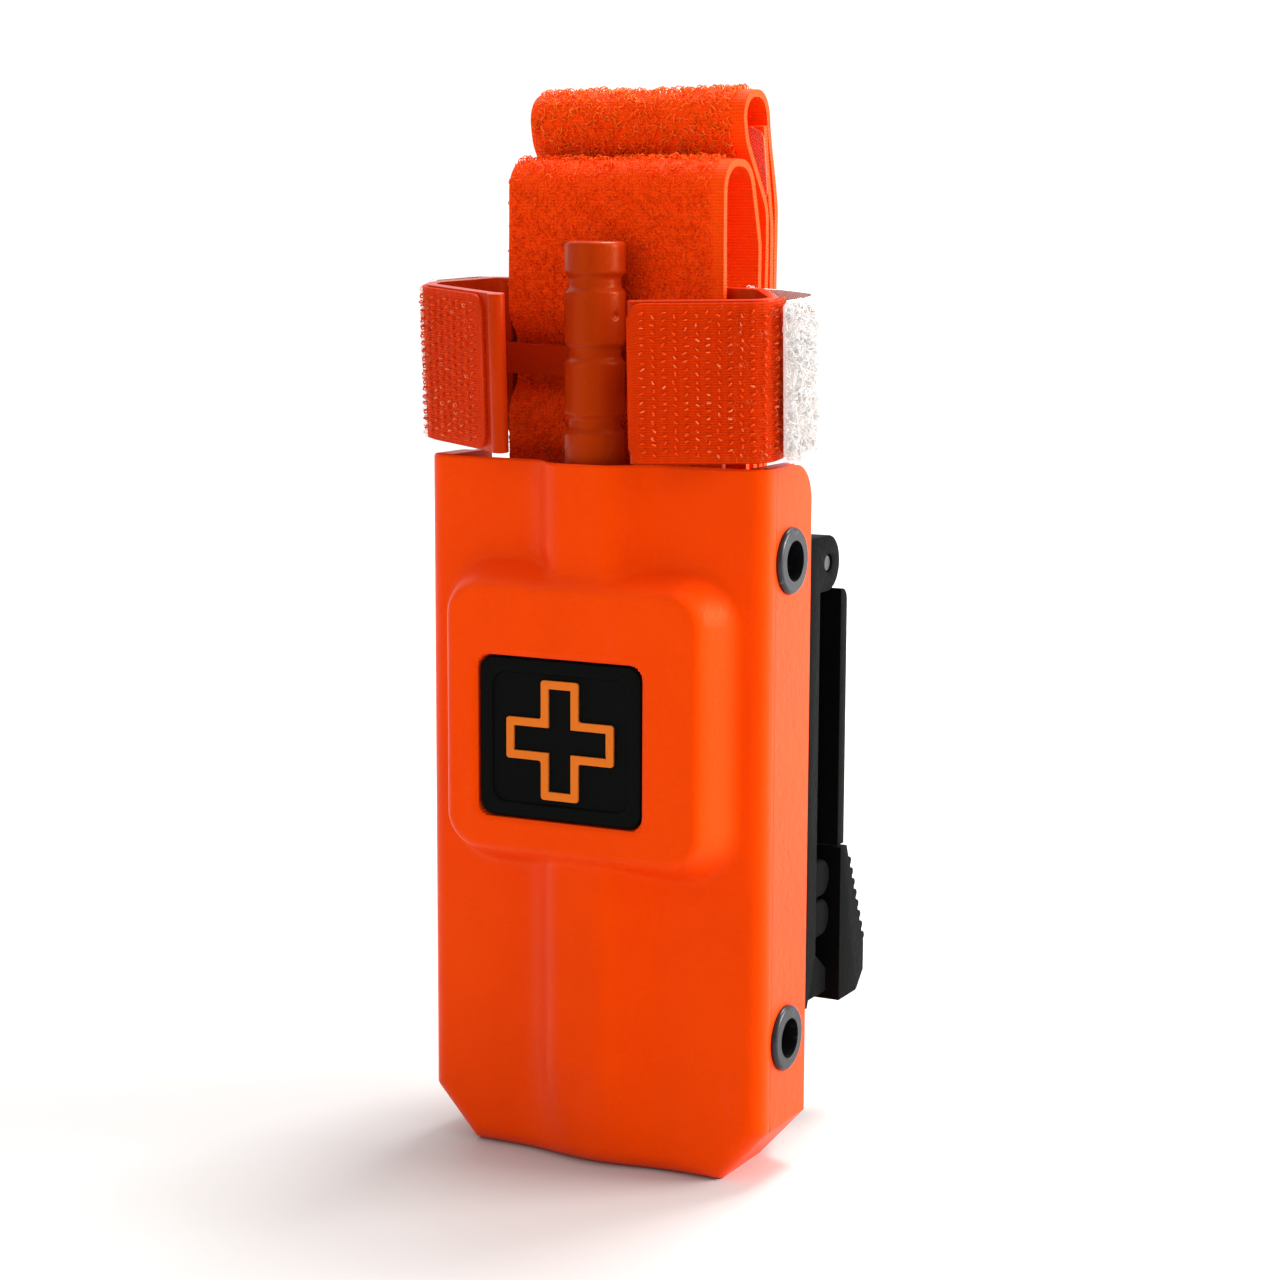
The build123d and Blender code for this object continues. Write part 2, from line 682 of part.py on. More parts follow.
def clip_base():
    """Plate of the belt clip with its hinge lugs and catch block."""
    y0, y1 = bulge_y, mount_y
    side_view = [(y0, mount_foot_z), (y0, mount_top_z), (y1, mount_top_z),
                 (y1, mount_foot_z + mount_taper_h), (y0 + mount_tip_t, mount_foot_z)]
    plate = yz_prism(side_view, -mount_half_w, mount_half_w)
    for side in (-1, 1):
        x0, x1 = sorted((side * (mount_half_w - lug_t), side * mount_half_w))
        lug = rod_x_axis(x0, x1, pin_y, pin_z, lug_r)
        lug += block(x0, x1, y0, pin_y, pin_z - lug_r, pin_z + lug_r)
        plate += lug
    hollow_w = mount_half_w - lug_t
    hollow_y = pin_y - knuckle_r - knuckle_gap
    plate -= block(-hollow_w, hollow_w, hollow_y, y1 + 1, pin_z - knuckle_r - 2, BIG * 3)
    z0, z1 = catch_low_z, catch_high_z
    catch = [(y1 - 1, z0), (catch_y, z0), (catch_y, z1 - 5), (y1, z1), (y1 - 1, z1)]
    plate += yz_prism(catch, -catch_half_w, catch_half_w)
    plate -= rod_x_axis(-BIG, BIG, pin_y, pin_z, pin_r + pin_hole_clear)
    return plate - screw_holes()


def clip_pin():
    solid = rod_x_axis(-mount_half_w + pin_inset, mount_half_w - pin_inset, pin_y, pin_z, pin_r)
    return chamfer(solid.edges().filter_by(GeomType.CIRCLE), 0.3)


def belt_spacers():
    """Two D-shaped bars that take up the slack under a narrow belt."""
    y1 = mount_y
    radius = spacer_h / 2
    parts = []
    for z in spacer_zs:
        flat = block(-spacer_half_w, spacer_half_w, y1, y1 + spacer_out - radius, z - radius, z + radius)
        nose = rod_x_axis(-spacer_half_w, spacer_half_w, y1 + spacer_out - radius, z, radius)
        parts.append(flat + nose)
    return Part() + parts


def clip_leaf():
    """Outer leaf of the belt clip: knuckle, long flat spring, thick lower end."""
    half = mount_half_w - lug_t - side_gap
    outer = leaf_y + leaf_t
    slab_top = pin_z - lug_r - side_gap
    slab = block(-mount_half_w, mount_half_w, leaf_y, outer, leaf_body_z, slab_top)
    long_edges = slab.edges().filter_by(Axis.X)
    top = [e for e in long_edges if e.center().Z > slab_top - 1 and e.center().Y > leaf_y + 1]
    slab = fillet(top, 2.0)
    neck = [(pin_y + 1, pin_z + knuckle_r * 0.95), (pin_y + 3.2, pin_z + 2.8), (outer, slab_top - 3),
            (outer, slab_top - 7), (leaf_y, slab_top - 7), (pin_y, pin_z - knuckle_r)]
    body = rod_x_axis(-half, half, pin_y, pin_z, knuckle_r) + yz_prism(neck, -half, half)
    low = [(leaf_y, leaf_body_z + 1), (outer, leaf_body_z + 1), (leaf_y + leaf_body_t, leaf_body_z - 6),
           (leaf_y + leaf_body_t, leaf_foot_z + 2), (leaf_y + leaf_body_t - 2, leaf_foot_z),
           (leaf_lip_y, leaf_foot_z), (leaf_lip_y, leaf_foot_z + leaf_lip_h),
           (leaf_y, leaf_foot_z + leaf_lip_h)]
    foot = yz_prism(low, -leaf_body_half_w, leaf_body_half_w)
    solid = slab - block(-BIG, BIG, 0, BIG, 0, wing_top_z + side_gap) + body + foot
    solid += block(-leaf_body_half_w, leaf_body_half_w, leaf_y, outer, leaf_body_z, wing_top_z + 1)
    solid -= rod_x_axis(-BIG, BIG, pin_y, pin_z, pin_r + leaf_hole_clear)
    for side in (-1, 1):
        solid -= peg(side, peg_len + wing_travel + 0.5, peg_clear)
    return solid


def peg(side, length, grow):
    """Guide peg of a squeeze wing, or its socket in the leaf."""
    y = leaf_y + leaf_body_t / 2
    z = (leaf_foot_z + leaf_body_z) / 2 - 2
    far = wing_in_x + (0.5 if grow == 0 else 2)
    x0, x1 = sorted((side * (leaf_body_half_w - length), side * far))
    half_t = peg_t / 2 + grow
    half_h = peg_h / 2 + grow
    return block(x0, x1, y - half_t, y + half_t, z - half_h, z + half_h)


def latch_wing(side):
    """Ridged squeeze wing beside the leaf's lower end."""
    inner, outer = wing_in_x, wing_out_x
    x0, x1 = sorted((side * inner, side * outer))
    front = leaf_y
    profile = [(front, wing_top_z), (front + leaf_t, wing_top_z), (wing_out_y, leaf_foot_z + 8),
               (wing_out_y, leaf_foot_z + 3), (wing_out_y - 3, leaf_foot_z), (front, leaf_foot_z)]
    solid = yz_prism(profile, x0, x1)
    foot_z, top_z = leaf_foot_z + 8, wing_top_z - 2
    for i in range(ridge_count):
        k = (i + 0.5) / ridge_count
        y = wing_out_y + (front + leaf_t - wing_out_y) * k
        z = foot_z + (wing_top_z - foot_z) * k
        if z < top_z:
            solid += rod_x_axis(x0, x1, y, z, ridge_r)
    low_edges = [e for e in solid.edges().filter_by(Axis.X) if e.center().Z < leaf_foot_z + 1]
    corner = [e for e in low_edges if e.center().Y > wing_out_y - 4]
    solid = fillet(corner, wing_corner_r)
    return solid + peg(side, peg_len, 0)


def main():
    os.makedirs("parts", exist_ok=True)
    export("front_shell", front_shell())
    export("back_shell", back_shell())
    export("eyelets", eyelets())
    export("eyelet_washers", eyelet_washers())
    export("patch_loop_pad", patch_loop_pad())
    export("patch_hook_pad", patch_hook_pad())
    export("patch_base", patch_base())
    export("patch_cross", patch_cross())
    export("clip_base", clip_base())
    export("clip_pin", clip_pin())
    export("clip_screws", clip_screws())
    export("clip_nuts", clip_nuts())
    export("belt_spacers", belt_spacers())
    export("clip_leaf", clip_leaf())
    export("latch_wing_left", latch_wing(-1))
    export("latch_wing_right", latch_wing(1))
    export("windlass_rod", windlass_rod())
    export("windlass_clip", windlass_clip())
    export("hook_patch_left", hook_patch(-1))
    export("hook_patch_right", hook_patch(1))
    export("time_strap", time_strap())
    export("outer_band", outer_band())
    export("band_tip", band_tip())
    export("base_plate", base_plate())
    export("inner_band", inner_band())
    export("buckle", buckle())


main()
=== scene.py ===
import logging
import math
from collections.abc import Callable, Sequence
from dataclasses import dataclass
from enum import Enum

import bpy
import numpy as np
from mathutils import Matrix, Vector


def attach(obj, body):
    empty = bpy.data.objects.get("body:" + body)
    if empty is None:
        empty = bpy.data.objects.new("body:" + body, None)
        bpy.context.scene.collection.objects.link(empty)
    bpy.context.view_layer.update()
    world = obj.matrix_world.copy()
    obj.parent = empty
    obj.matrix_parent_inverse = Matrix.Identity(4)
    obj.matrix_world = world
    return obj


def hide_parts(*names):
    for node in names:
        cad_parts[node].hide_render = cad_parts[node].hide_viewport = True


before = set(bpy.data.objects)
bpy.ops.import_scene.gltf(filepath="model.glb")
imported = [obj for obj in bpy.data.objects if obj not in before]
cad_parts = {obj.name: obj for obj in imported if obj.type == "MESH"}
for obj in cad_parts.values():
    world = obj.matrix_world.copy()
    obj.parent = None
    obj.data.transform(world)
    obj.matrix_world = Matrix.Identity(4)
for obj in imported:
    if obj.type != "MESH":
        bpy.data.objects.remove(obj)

LOG = logging.getLogger("tourniquet")
MM = 0.001
FRONT_Y = -8.25  # depth of the case's flat front, in millimetres
Value = "Wire | float | Sequence[float]"


# ---- shader arithmetic ---------------------------------------------------------


class Wire:
    """An output socket, with arithmetic that adds Math nodes."""

    def __init__(self, paint: "Paint", socket: bpy.types.NodeSocket) -> None:
        """Keeps the socket and the material it belongs to."""
        self.paint = paint
        self.socket = socket

    def _math(self, operation: str, *values: Value) -> "Wire":
        """One Math node on these values."""
        inputs = dict(enumerate(values))
        return self.paint.node("ShaderNodeMath", {"operation": operation}, inputs)

    def __add__(self, other: Value) -> "Wire":
        """self + other."""
        return self._math("ADD", self, other)

    def __sub__(self, other: Value) -> "Wire":
        """self - other."""
        return self._math("SUBTRACT", self, other)

    def __mul__(self, other: Value) -> "Wire":
        """self * other."""
        return self._math("MULTIPLY", self, other)

    def sine(self) -> "Wire":
        """Sine of an angle in radians."""
        return self._math("SINE", self)

    def size(self) -> "Wire":
        """Absolute value."""
        return self._math("ABSOLUTE", self)

    def span(self, low: float, high: float) -> "Wire":
        """0 at low, 1 at high, eased and held outside."""
        settings = {"interpolation_type": "SMOOTHSTEP"}
        inputs = {"Value": self, "From Min": low, "From Max": high, "To Min": 0.0, "To Max": 1.0}
        return self.paint.node("ShaderNodeMapRange", settings, inputs)


class Paint:
    """A material and the nodes that feed its Principled shader."""

    def __init__(self, name: str, block: bpy.types.ID | None = None,
                 shader: str = "Principled BSDF") -> None:
        """Starts a material, or paints on a block that is already there."""
        self.material = block or bpy.data.materials.new(name)
        self.material.use_nodes = True
        self.tree = self.material.node_tree
        self.shader = self.tree.nodes[shader]
        self._place: Wire | None = None

    def node(self, kind: str, settings: dict | None = None, inputs: dict | None = None,
             out: int | str = 0) -> Wire:
        """Makes a node.

        Args:
            kind: The node's type.
            settings: Its properties.
            inputs: Values or wires by socket name or number.
            out: The output that is wanted.

        Returns:
            That output as a wire.
        """
        made = self.tree.nodes.new(kind)
        for key, value in (settings or {}).items():
            setattr(made, key, value)
        for key, value in (inputs or {}).items():
            self.feed(made.inputs[key], value)
        return Wire(self, made.outputs[out])

    def feed(self, socket: bpy.types.NodeSocket, value: Value) -> None:
        """Links a wire to a socket, or sets the socket's own value."""
        if isinstance(value, Wire):
            self.tree.links.new(value.socket, socket)
            return
        if socket.type == "RGBA" and len(value) == 3:
            value = (*value, 1.0)
        socket.default_value = value

    def place(self) -> Wire:
        """Object coordinates, in metres."""
        if self._place is None:
            self._place = self.node("ShaderNodeTexCoord", out="Object")
        return self._place

    def flat(self) -> tuple[Wire, Wire]:
        """The piece's own map: across and along, in millimetres."""
        return self.parts(self.node("ShaderNodeUVMap", {"uv_map": "UVMap"}))[:2]

    def parts(self, vector: Wire) -> tuple[Wire, Wire, Wire]:
        """The three numbers of a vector."""
        split = self.tree.nodes.new("ShaderNodeSeparateXYZ")
        self.feed(split.inputs[0], vector)
        return tuple(Wire(self, socket) for socket in split.outputs)

    def scaled(self, scale: Sequence[float]) -> Wire:
        """Object coordinates stretched by a factor for each axis."""
        return self.node("ShaderNodeMapping", None, {"Vector": self.place(), "Scale": scale})

    def noise(self, scale: float, detail: float = 3.0, rough: float = 0.5,
              at: Wire | None = None) -> Wire:
        """Soft noise from 0 to 1; scale is in cycles a metre."""
        inputs = {"Vector": at or self.place(), "Scale": scale, "Detail": detail, "Roughness": rough}
        return self.node("ShaderNodeTexNoise", None, inputs)

    def grains(self, scale: float, out: str = "Distance") -> Wire:
        """Cell noise; scale is in cells a metre."""
        return self.node("ShaderNodeTexVoronoi", None, {"Vector": self.place(), "Scale": scale}, out)

    def mix(self, factor: Value, low: Value, high: Value) -> Wire:
        """A colour between two colours."""
        settings = {"data_type": "RGBA", "clamp_factor": True}
        return self.node("ShaderNodeMix", settings, {0: factor, 6: low, 7: high}, 2)

    def bump(self, height: Wire, depth: float, strength: float = 1.0) -> Wire:
        """A normal from a height; depth is in metres."""
        inputs = {"Height": height, "Distance": depth, "Strength": strength}
        return self.node("ShaderNodeBump", None, inputs, "Normal")

    def finish(self, **sockets: Value) -> bpy.types.Material:
        """Feeds the shader's sockets; a name's underscores stand for spaces."""
        for key, value in sockets.items():
            self.feed(self.shader.inputs[key.replace("_", " ")], value)
        return self.material


# ---- finishes --------------------------------------------------------------------

Colour = tuple[float, float, float]


@dataclass(frozen=True)
class MouldedPlastic:
    """Moulded plastic with a fine grain, faint flow marks and scuffs.

    Attributes:
        name: The material's name.
        colour: Its usual tone.
        deep: The tone of its darker clouds.
        roughness: Middle roughness.
        grain: Grains a metre.
        grain_depth: Depth of the grain, in metres.
        scuff: Share of the pale tone in scuffed places.
        specular: Specular level of the shader.
        gleam: Tint of the highlights.
    """

    name: str
    colour: Colour
    deep: Colour
    roughness: float = 0.42
    grain: float = 1500.0
    grain_depth: float = 0.00004
    scuff: float = 0.12
    specular: float = 0.35
    gleam: Colour = (1.0, 0.30, 0.03)

    def dress(self) -> bpy.types.Material:
        """Builds the material."""
        p = Paint(self.name)
        cloudy = p.noise(38.0, 3.0, 0.55)
        fine = p.noise(self.grain, 4.0, 0.62)
        pits = p.grains(self.grain * 0.8)
        flow = p.noise(16.0, 4.0, 0.6, p.scaled((5.0, 5.0, 0.7)))
        rub = p.noise(260.0, 5.0, 0.7, p.scaled((1.0, 1.0, 0.25))).span(0.62, 0.78) * self.scuff
        tone = (cloudy * 0.55 + flow * 0.25 + fine * 0.2).span(0.3, 0.7)
        colour = p.mix(tone, self.deep, self.colour)
        pale = tuple(0.85 * c + 0.15 * 0.6 for c in self.colour)
        colour = p.mix(rub, colour, pale)
        rough = fine * 0.12 + cloudy * 0.07 + rub * 0.5 + (self.roughness - 0.1)
        peel = p.noise(430.0, 2.0, 0.5)
        height = fine * 0.7 + pits * 0.5 + peel * 2.2
        return p.finish(Base_Color=colour, Roughness=rough, Normal=p.bump(height, self.grain_depth),
                        Specular_IOR_Level=self.specular, Specular_Tint=self.gleam)


@dataclass(frozen=True)
class BlackMetal:
    """Blackened metal, rubbed bright in places."""

    name: str
    colour: Colour = (0.035, 0.037, 0.042)
    bare: Colour = (0.32, 0.30, 0.29)
    wear: float = 0.5
    roughness: float = 0.3

    def dress(self) -> bpy.types.Material:
        """Builds the material."""
        p = Paint(self.name)
        worn = p.noise(420.0, 5.0, 0.65).span(0.56, 0.75) * self.wear
        fine = p.noise(4200.0, 3.0, 0.6)
        colour = p.mix(worn, self.colour, self.bare)
        rough = fine * 0.18 + worn * 0.15 + (self.roughness - 0.08)
        return p.finish(Base_Color=colour, Metallic=0.85, Roughness=rough,
                        Normal=p.bump(fine, 0.00002))


@dataclass(frozen=True)
class Rubber:
    """Soft moulded rubber with a fine matt skin and scattered specks and clouds of dust."""

    name: str
    colour: Colour
    dust: Colour
    roughness: float = 0.5

    def dress(self) -> bpy.types.Material:
        """Builds the material."""
        p = Paint(self.name)
        fine = p.noise(2600.0, 4.0, 0.6)
        cloud = p.noise(150.0, 4.0, 0.6)
        specks = p.noise(1900.0, 2.0, 0.5).span(0.68, 0.8) * 0.25
        colour = p.mix(specks + cloud * 0.12, self.colour, self.dust)
        rough = fine * 0.2 + cloud * 0.12 + (self.roughness - 0.15)
        return p.finish(Base_Color=colour, Roughness=rough, Normal=p.bump(fine, 0.00004),
                        Specular_IOR_Level=0.035)


class Weave(Enum):
    """How the threads of a tape run."""

    PLAIN = "plain"
    RIBBED = "ribbed"
    KNIT = "knit"


@dataclass(frozen=True)
class WovenTape:
    """Woven or knitted tape; its threads follow the piece's own map."""

    name: str
    colour: Colour
    shade: Colour
    weave: Weave = Weave.PLAIN
    pitch: float = 0.62
    depth: float = 0.0002
    roughness: float = 0.62
    sheen: float = 0.25

    def dress(self) -> bpy.types.Material:
        """Builds the material."""
        p = Paint(self.name)
        across, along = p.flat()
        turn = 2 * math.pi / self.pitch
        fuzz = p.noise(3400.0, 4.0, 0.65)
        drift = p.noise(240.0, 3.0, 0.5)
        warp = (across * turn + drift * 1.6).sine()
        if self.weave is Weave.PLAIN:
            weft = (along * turn + drift * 1.6).sine()
            threads = (warp * weft) * 0.5 + 0.5
        elif self.weave is Weave.RIBBED:
            weft = (along * turn * 0.5 + drift).sine()
            threads = warp.size() * 0.7 + weft * 0.15 + 0.15
        else:
            vee = (along * turn + warp.size() * 1.8).sine()
            threads = vee * 0.35 + warp * 0.15 + 0.5
        cloud = p.noise(90.0, 3.0, 0.6)
        tone = threads * 0.6 + fuzz * 0.25 + cloud * 0.3
        colour = p.mix(tone.span(0.15, 0.85), self.shade, self.colour)
        rough = fuzz * 0.2 + (self.roughness - 0.1)
        height = threads + fuzz * 0.5
        return p.finish(Base_Color=colour, Roughness=rough, Normal=p.bump(height, self.depth),
                        Sheen_Weight=self.sheen, Sheen_Roughness=0.4, Sheen_Tint=self.colour,
                        Specular_IOR_Level=0.25, Specular_Tint=self.colour)


@dataclass(frozen=True)
class Filament:
    """Shiny nylon filament of a pile or a hook, with its tone changing from one to the next, and painted
    highlights: random specks of its colour pulled towards the glint colour.
    """

    name: str
    colour: Colour
    shade: Colour
    glint: Colour
    roughness: float = 0.40
    scatter: float = 0.12

    def dress(self) -> bpy.types.Material:
        """Builds the material."""
        p = Paint(self.name)
        tuft = p.noise(700.0, 2.0, 0.6)
        drift = p.noise(120.0, 3.0, 0.55)
        spark = p.grains(900.0, "Color")
        painted_glint_specks = p.node("ShaderNodeSeparateColor", None, {0: spark}).span(0.72, 0.98)
        tone = (tuft * 0.6 + drift * 0.4).span(0.3, 0.7)
        colour = p.mix(tone, self.shade, self.colour)
        # painted highlights: the brightest grains become glint-coloured specks in the base colour
        colour = p.mix(painted_glint_specks * 0.5, colour, self.glint)
        rough = tuft * 0.2 + (self.roughness - 0.1)
        return p.finish(Base_Color=colour, Roughness=rough, Subsurface_Weight=self.scatter,
                        Subsurface_Radius=(0.9, 0.35, 0.2), Subsurface_Scale=0.001,
                        Specular_IOR_Level=0.2, Specular_Tint=self.glint)


@dataclass(frozen=True)
class Floor:
    """Pale studio floor with the faintest mottle, its colour darkened towards the object's place as painted
    shade.
    """

    name: str = "pale_floor"
    colour: Colour = (0.95, 0.95, 0.95)
    # painted shade: the darker floor colour close to the object
    near: Colour = (0.56, 0.55, 0.54)

    def dress(self) -> bpy.types.Material:
        """Builds the material."""
        p = Paint(self.name)
        mottle = p.noise(6.0, 3.0, 0.5)
        away = p.node("ShaderNodeVectorMath", {"operation": "LENGTH"}, {0: p.place()}, "Value")
        # painted shade: the floor's colour darkens towards the object's place, besides the faint mottle
        colour = p.mix(away.span(0.12, 0.9) + mottle * 0.02, self.near, self.colour)
        return p.finish(Base_Color=colour, Roughness=mottle * 0.1 + 0.5, Specular_IOR_Level=0.2)


# ---- modelling tools -------------------------------------------------------------


def let_go() -> None:
    """Leaves edit mode and deselects everything."""
    if bpy.context.mode != "OBJECT":
        bpy.ops.object.mode_set(mode="OBJECT")
    bpy.ops.object.select_all(action="DESELECT")


def take(obj: bpy.types.Object) -> None:
    """Makes obj the only selected and the active object."""
    let_go()
    obj.select_set(True)
    bpy.context.view_layer.objects.active = obj


def points_of(obj: bpy.types.Object) -> np.ndarray:
    """The piece's points, one row each, in metres."""
    points = np.zeros(len(obj.data.vertices) * 3)
    obj.data.vertices.foreach_get("co", points)
    return points.reshape(-1, 3)


def formed_grid(name: str, across: int, along: int,
                place: Callable[[np.ndarray, np.ndarray], np.ndarray],
                flat: tuple[float, float] = (1.0, 1.0)) -> bpy.types.Object:
    """A grid primitive whose points are moved to their places.

    Args:
        name: The piece's name.
        across: Faces across.
        along: Faces along.
        place: Gives the points in millimetres from the column and row numbers.
        flat: Size of the flat map in millimetres.

    Returns:
        The new object, with its map in millimetres.
    """
    let_go()
    bpy.ops.mesh.primitive_grid_add(x_subdivisions=across, y_subdivisions=along, size=2.0)
    obj = bpy.context.active_object
    obj.name = obj.data.name = name
    start = points_of(obj)
    column = np.rint((start[:, 0] + 1) / 2 * across).astype(int)
    row = np.rint((start[:, 1] + 1) / 2 * along).astype(int)
    points = place(column, row) * MM
    obj.data.vertices.foreach_set("co", points.ravel())
    corner = np.zeros(len(obj.data.loops), int)
    obj.data.loops.foreach_get("vertex_index", corner)
    uv = np.stack([column / across * flat[0], row / along * flat[1]], 1)[corner]
    obj.data.uv_layers[0].name = "UVMap"
    obj.data.uv_layers[0].data.foreach_set("uv", uv.ravel())
    obj.data.update()
    return obj


def modify(obj: bpy.types.Object, kind: str, **settings: object) -> None:
    """Adds a modifier with these settings and applies it."""
    take(obj)
    modifier = obj.modifiers.new(kind.title(), kind)
    for key, value in settings.items():
        setattr(modifier, key, value)
    bpy.ops.object.modifier_apply(modifier=modifier.name)


def smooth(obj: bpy.types.Object, angle: float = 35.0) -> None:
    """Smooth shading, with edges kept above an angle in degrees."""
    take(obj)
    bpy.ops.object.shade_smooth_by_angle(angle=math.radians(angle))


def outward(obj: bpy.types.Object, merge: float = 0.00001) -> None:
    """Merges doubles and turns the faces outwards."""
    take(obj)
    bpy.ops.object.mode_set(mode="EDIT")
    bpy.ops.mesh.select_all(action="SELECT")
    bpy.ops.mesh.remove_doubles(threshold=merge)
    bpy.ops.mesh.normals_make_consistent(inside=False)
    bpy.ops.object.mode_set(mode="OBJECT")


def wear(obj: bpy.types.Object, material: bpy.types.Material) -> None:
    """Gives a piece or a carried-over node its finish."""
    if not obj.material_slots:
        obj.data.materials.append(material)
    for held in obj.material_slots:
        held.material = material


def keep(obj: bpy.types.Object, body: str, slot: str, material: bpy.types.Material,
         *nodes: str) -> bpy.types.Object:
    """Dresses a finished piece, hangs it on the body that it moves with and hides the nodes that it replaces.
    """
    wear(obj, material)
    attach(obj, body)
    if nodes:
        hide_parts(*nodes)
    LOG.info("%s rides on %s, %d faces", obj.name, body, len(obj.data.polygons))
    return obj


def softened(node: str, name: str, width: float, segments: int = 3,
             angle: float = 32.0) -> bpy.types.Object:
    """A copy of a node with its sharp edges rounded.

    Args:
        node: The node's name.
        name: The new piece's name.
        width: Width of the rounding in millimetres.
        segments: Faces across the rounding.
        angle: Edges turning more than this many degrees are rounded.

    Returns:
        The new object.
    """
    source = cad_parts[node]
    obj = bpy.data.objects.new(name, source.data.copy())
    obj.data.name = name
    bpy.context.scene.collection.objects.link(obj)
    for key in list(obj.data.attributes.keys()):
        if key in ("custom_normal", "sharp_face"):
            obj.data.attributes.remove(obj.data.attributes[key])
    outward(obj, 0.000005)
    modify(obj, "DECIMATE", decimate_type="DISSOLVE", angle_limit=math.radians(2.0))
    modify(obj, "BEVEL", width=width * MM, segments=segments, limit_method="ANGLE",
           angle_limit=math.radians(angle), use_clamp_overlap=True, miter_outer="MITER_ARC")
    smooth(obj, 38.0)
    return obj


def ease(value: np.ndarray, low: float, high: float) -> np.ndarray:
    """0 at low, 1 at high, eased and held outside."""
    t = np.clip((value - low) / (high - low), 0.0, 1.0)
    return t * t * (3 - 2 * t)


def soft_most(a: np.ndarray, b: np.ndarray, reach: float) -> np.ndarray:
    """The larger of two heights, blended where they are close."""
    h = np.maximum(reach - np.abs(a - b), 0.0) / reach
    return np.maximum(a, b) + h * h * reach / 4


def ripple(u: np.ndarray, v: np.ndarray, seed: int, waves: int = 7,
           reach: float = 0.5) -> np.ndarray:
    """Smooth seeded unevenness, about -1 to 1, over a surface in millimetres."""
    draw = np.random.default_rng(seed)
    total = np.zeros_like(u, float)
    for _ in range(waves):
        a, b, phase = draw.normal(0, reach), draw.normal(0, reach), draw.uniform(0, 2 * math.pi)
        total += np.sin(a * u + b * v + phase)
    return total / math.sqrt(waves) / 1.4


def rounded_line(corners: Sequence[tuple[float, float, float]], step: float) -> np.ndarray:
    """Straight runs joined by tangent arcs, as evenly spaced points.

    Args:
        corners: (a, b, radius) of each corner, in millimetres.
        step: Distance between points.

    Returns:
        The points, one row each.
    """
    trace = [np.array(corners[0][:2], float)]
    for before, here, after in zip(corners, corners[1:], corners[2:]):
        at = np.array(here[:2], float)
        back = np.array(before[:2], float) - at
        ahead = np.array(after[:2], float) - at
        back /= np.linalg.norm(back)
        ahead /= np.linalg.norm(ahead)
        angle = math.acos(float(np.clip(back @ ahead, -1, 1)))
        if here[2] <= 0 or abs(math.pi - angle) < 1e-6:
            trace.append(at)
            continue
        run = here[2] / math.tan(angle / 2)
        middle = back + ahead
        middle /= np.linalg.norm(middle)
        hub = at + middle * here[2] / math.sin(angle / 2)
        first, last = at + back * run - hub, at + ahead * run - hub
        turn = math.atan2(first[0] * last[1] - first[1] * last[0], float(first @ last))
        count = max(3, int(abs(turn) * here[2] / 0.2))
        for k in range(count + 1):
            c, s = math.cos(turn * k / count), math.sin(turn * k / count)
            trace.append(hub + np.array([first[0] * c - first[1] * s, first[0] * s + first[1] * c]))
    trace.append(np.array(corners[-1][:2], float))
    line = np.array(trace)
    gaps = np.linalg.norm(np.diff(line, axis=0), axis=1)
    line = line[np.concatenate([[True], gaps > 1e-9])]
    far = np.concatenate([[0], np.cumsum(np.linalg.norm(np.diff(line, axis=0), axis=1))])
    at = np.linspace(0, far[-1], max(2, int(round(far[-1] / step)) + 1))
    return np.stack([np.interp(at, far, line[:, k]) for k in (0, 1)], 1)


def directions(line: np.ndarray) -> np.ndarray:
    """Unit directions along a line of points."""
    run = np.gradient(line, axis=0)
    return run / np.linalg.norm(run, axis=1)[:, None]


@dataclass
class Ribbon:
    """A strip that follows a line of points, with its own outward side.

    Attributes:
        line: Points in the middle of the strip, in millimetres.
        outer: Outward direction at each point.
        side: Direction across the strip.
        width: Width in millimetres.
    """

    line: np.ndarray
    outer: np.ndarray
    side: np.ndarray
    width: float

    @property
    def length(self) -> float:
        """Length along the middle."""
        return float(np.linalg.norm(np.diff(self.line, axis=0), axis=1).sum())

    def at(self, across: np.ndarray, along: np.ndarray, lift: np.ndarray) -> np.ndarray:
        """Points on the strip.

        Args:
            across: Millimetres from the middle.
            along: Share of the length, from 0 to 1.
            lift: Millimetres outward.

        Returns:
            Points, one row each, in millimetres.
        """
        rows = np.linspace(0, 1, len(self.line))
        base = np.stack([np.interp(along, rows, self.line[:, k]) for k in range(3)], 1)
        out = np.stack([np.interp(along, rows, self.outer[:, k]) for k in range(3)], 1)
        out /= np.linalg.norm(out, axis=1)[:, None]
        return base + across[:, None] * self.side + lift[:, None] * out

    def outward_at(self, along: np.ndarray) -> np.ndarray:
        """Outward directions at shares of the length."""
        rows = np.linspace(0, 1, len(self.line))
        out = np.stack([np.interp(along, rows, self.outer[:, k]) for k in range(3)], 1)
        return out / np.linalg.norm(out, axis=1)[:, None]


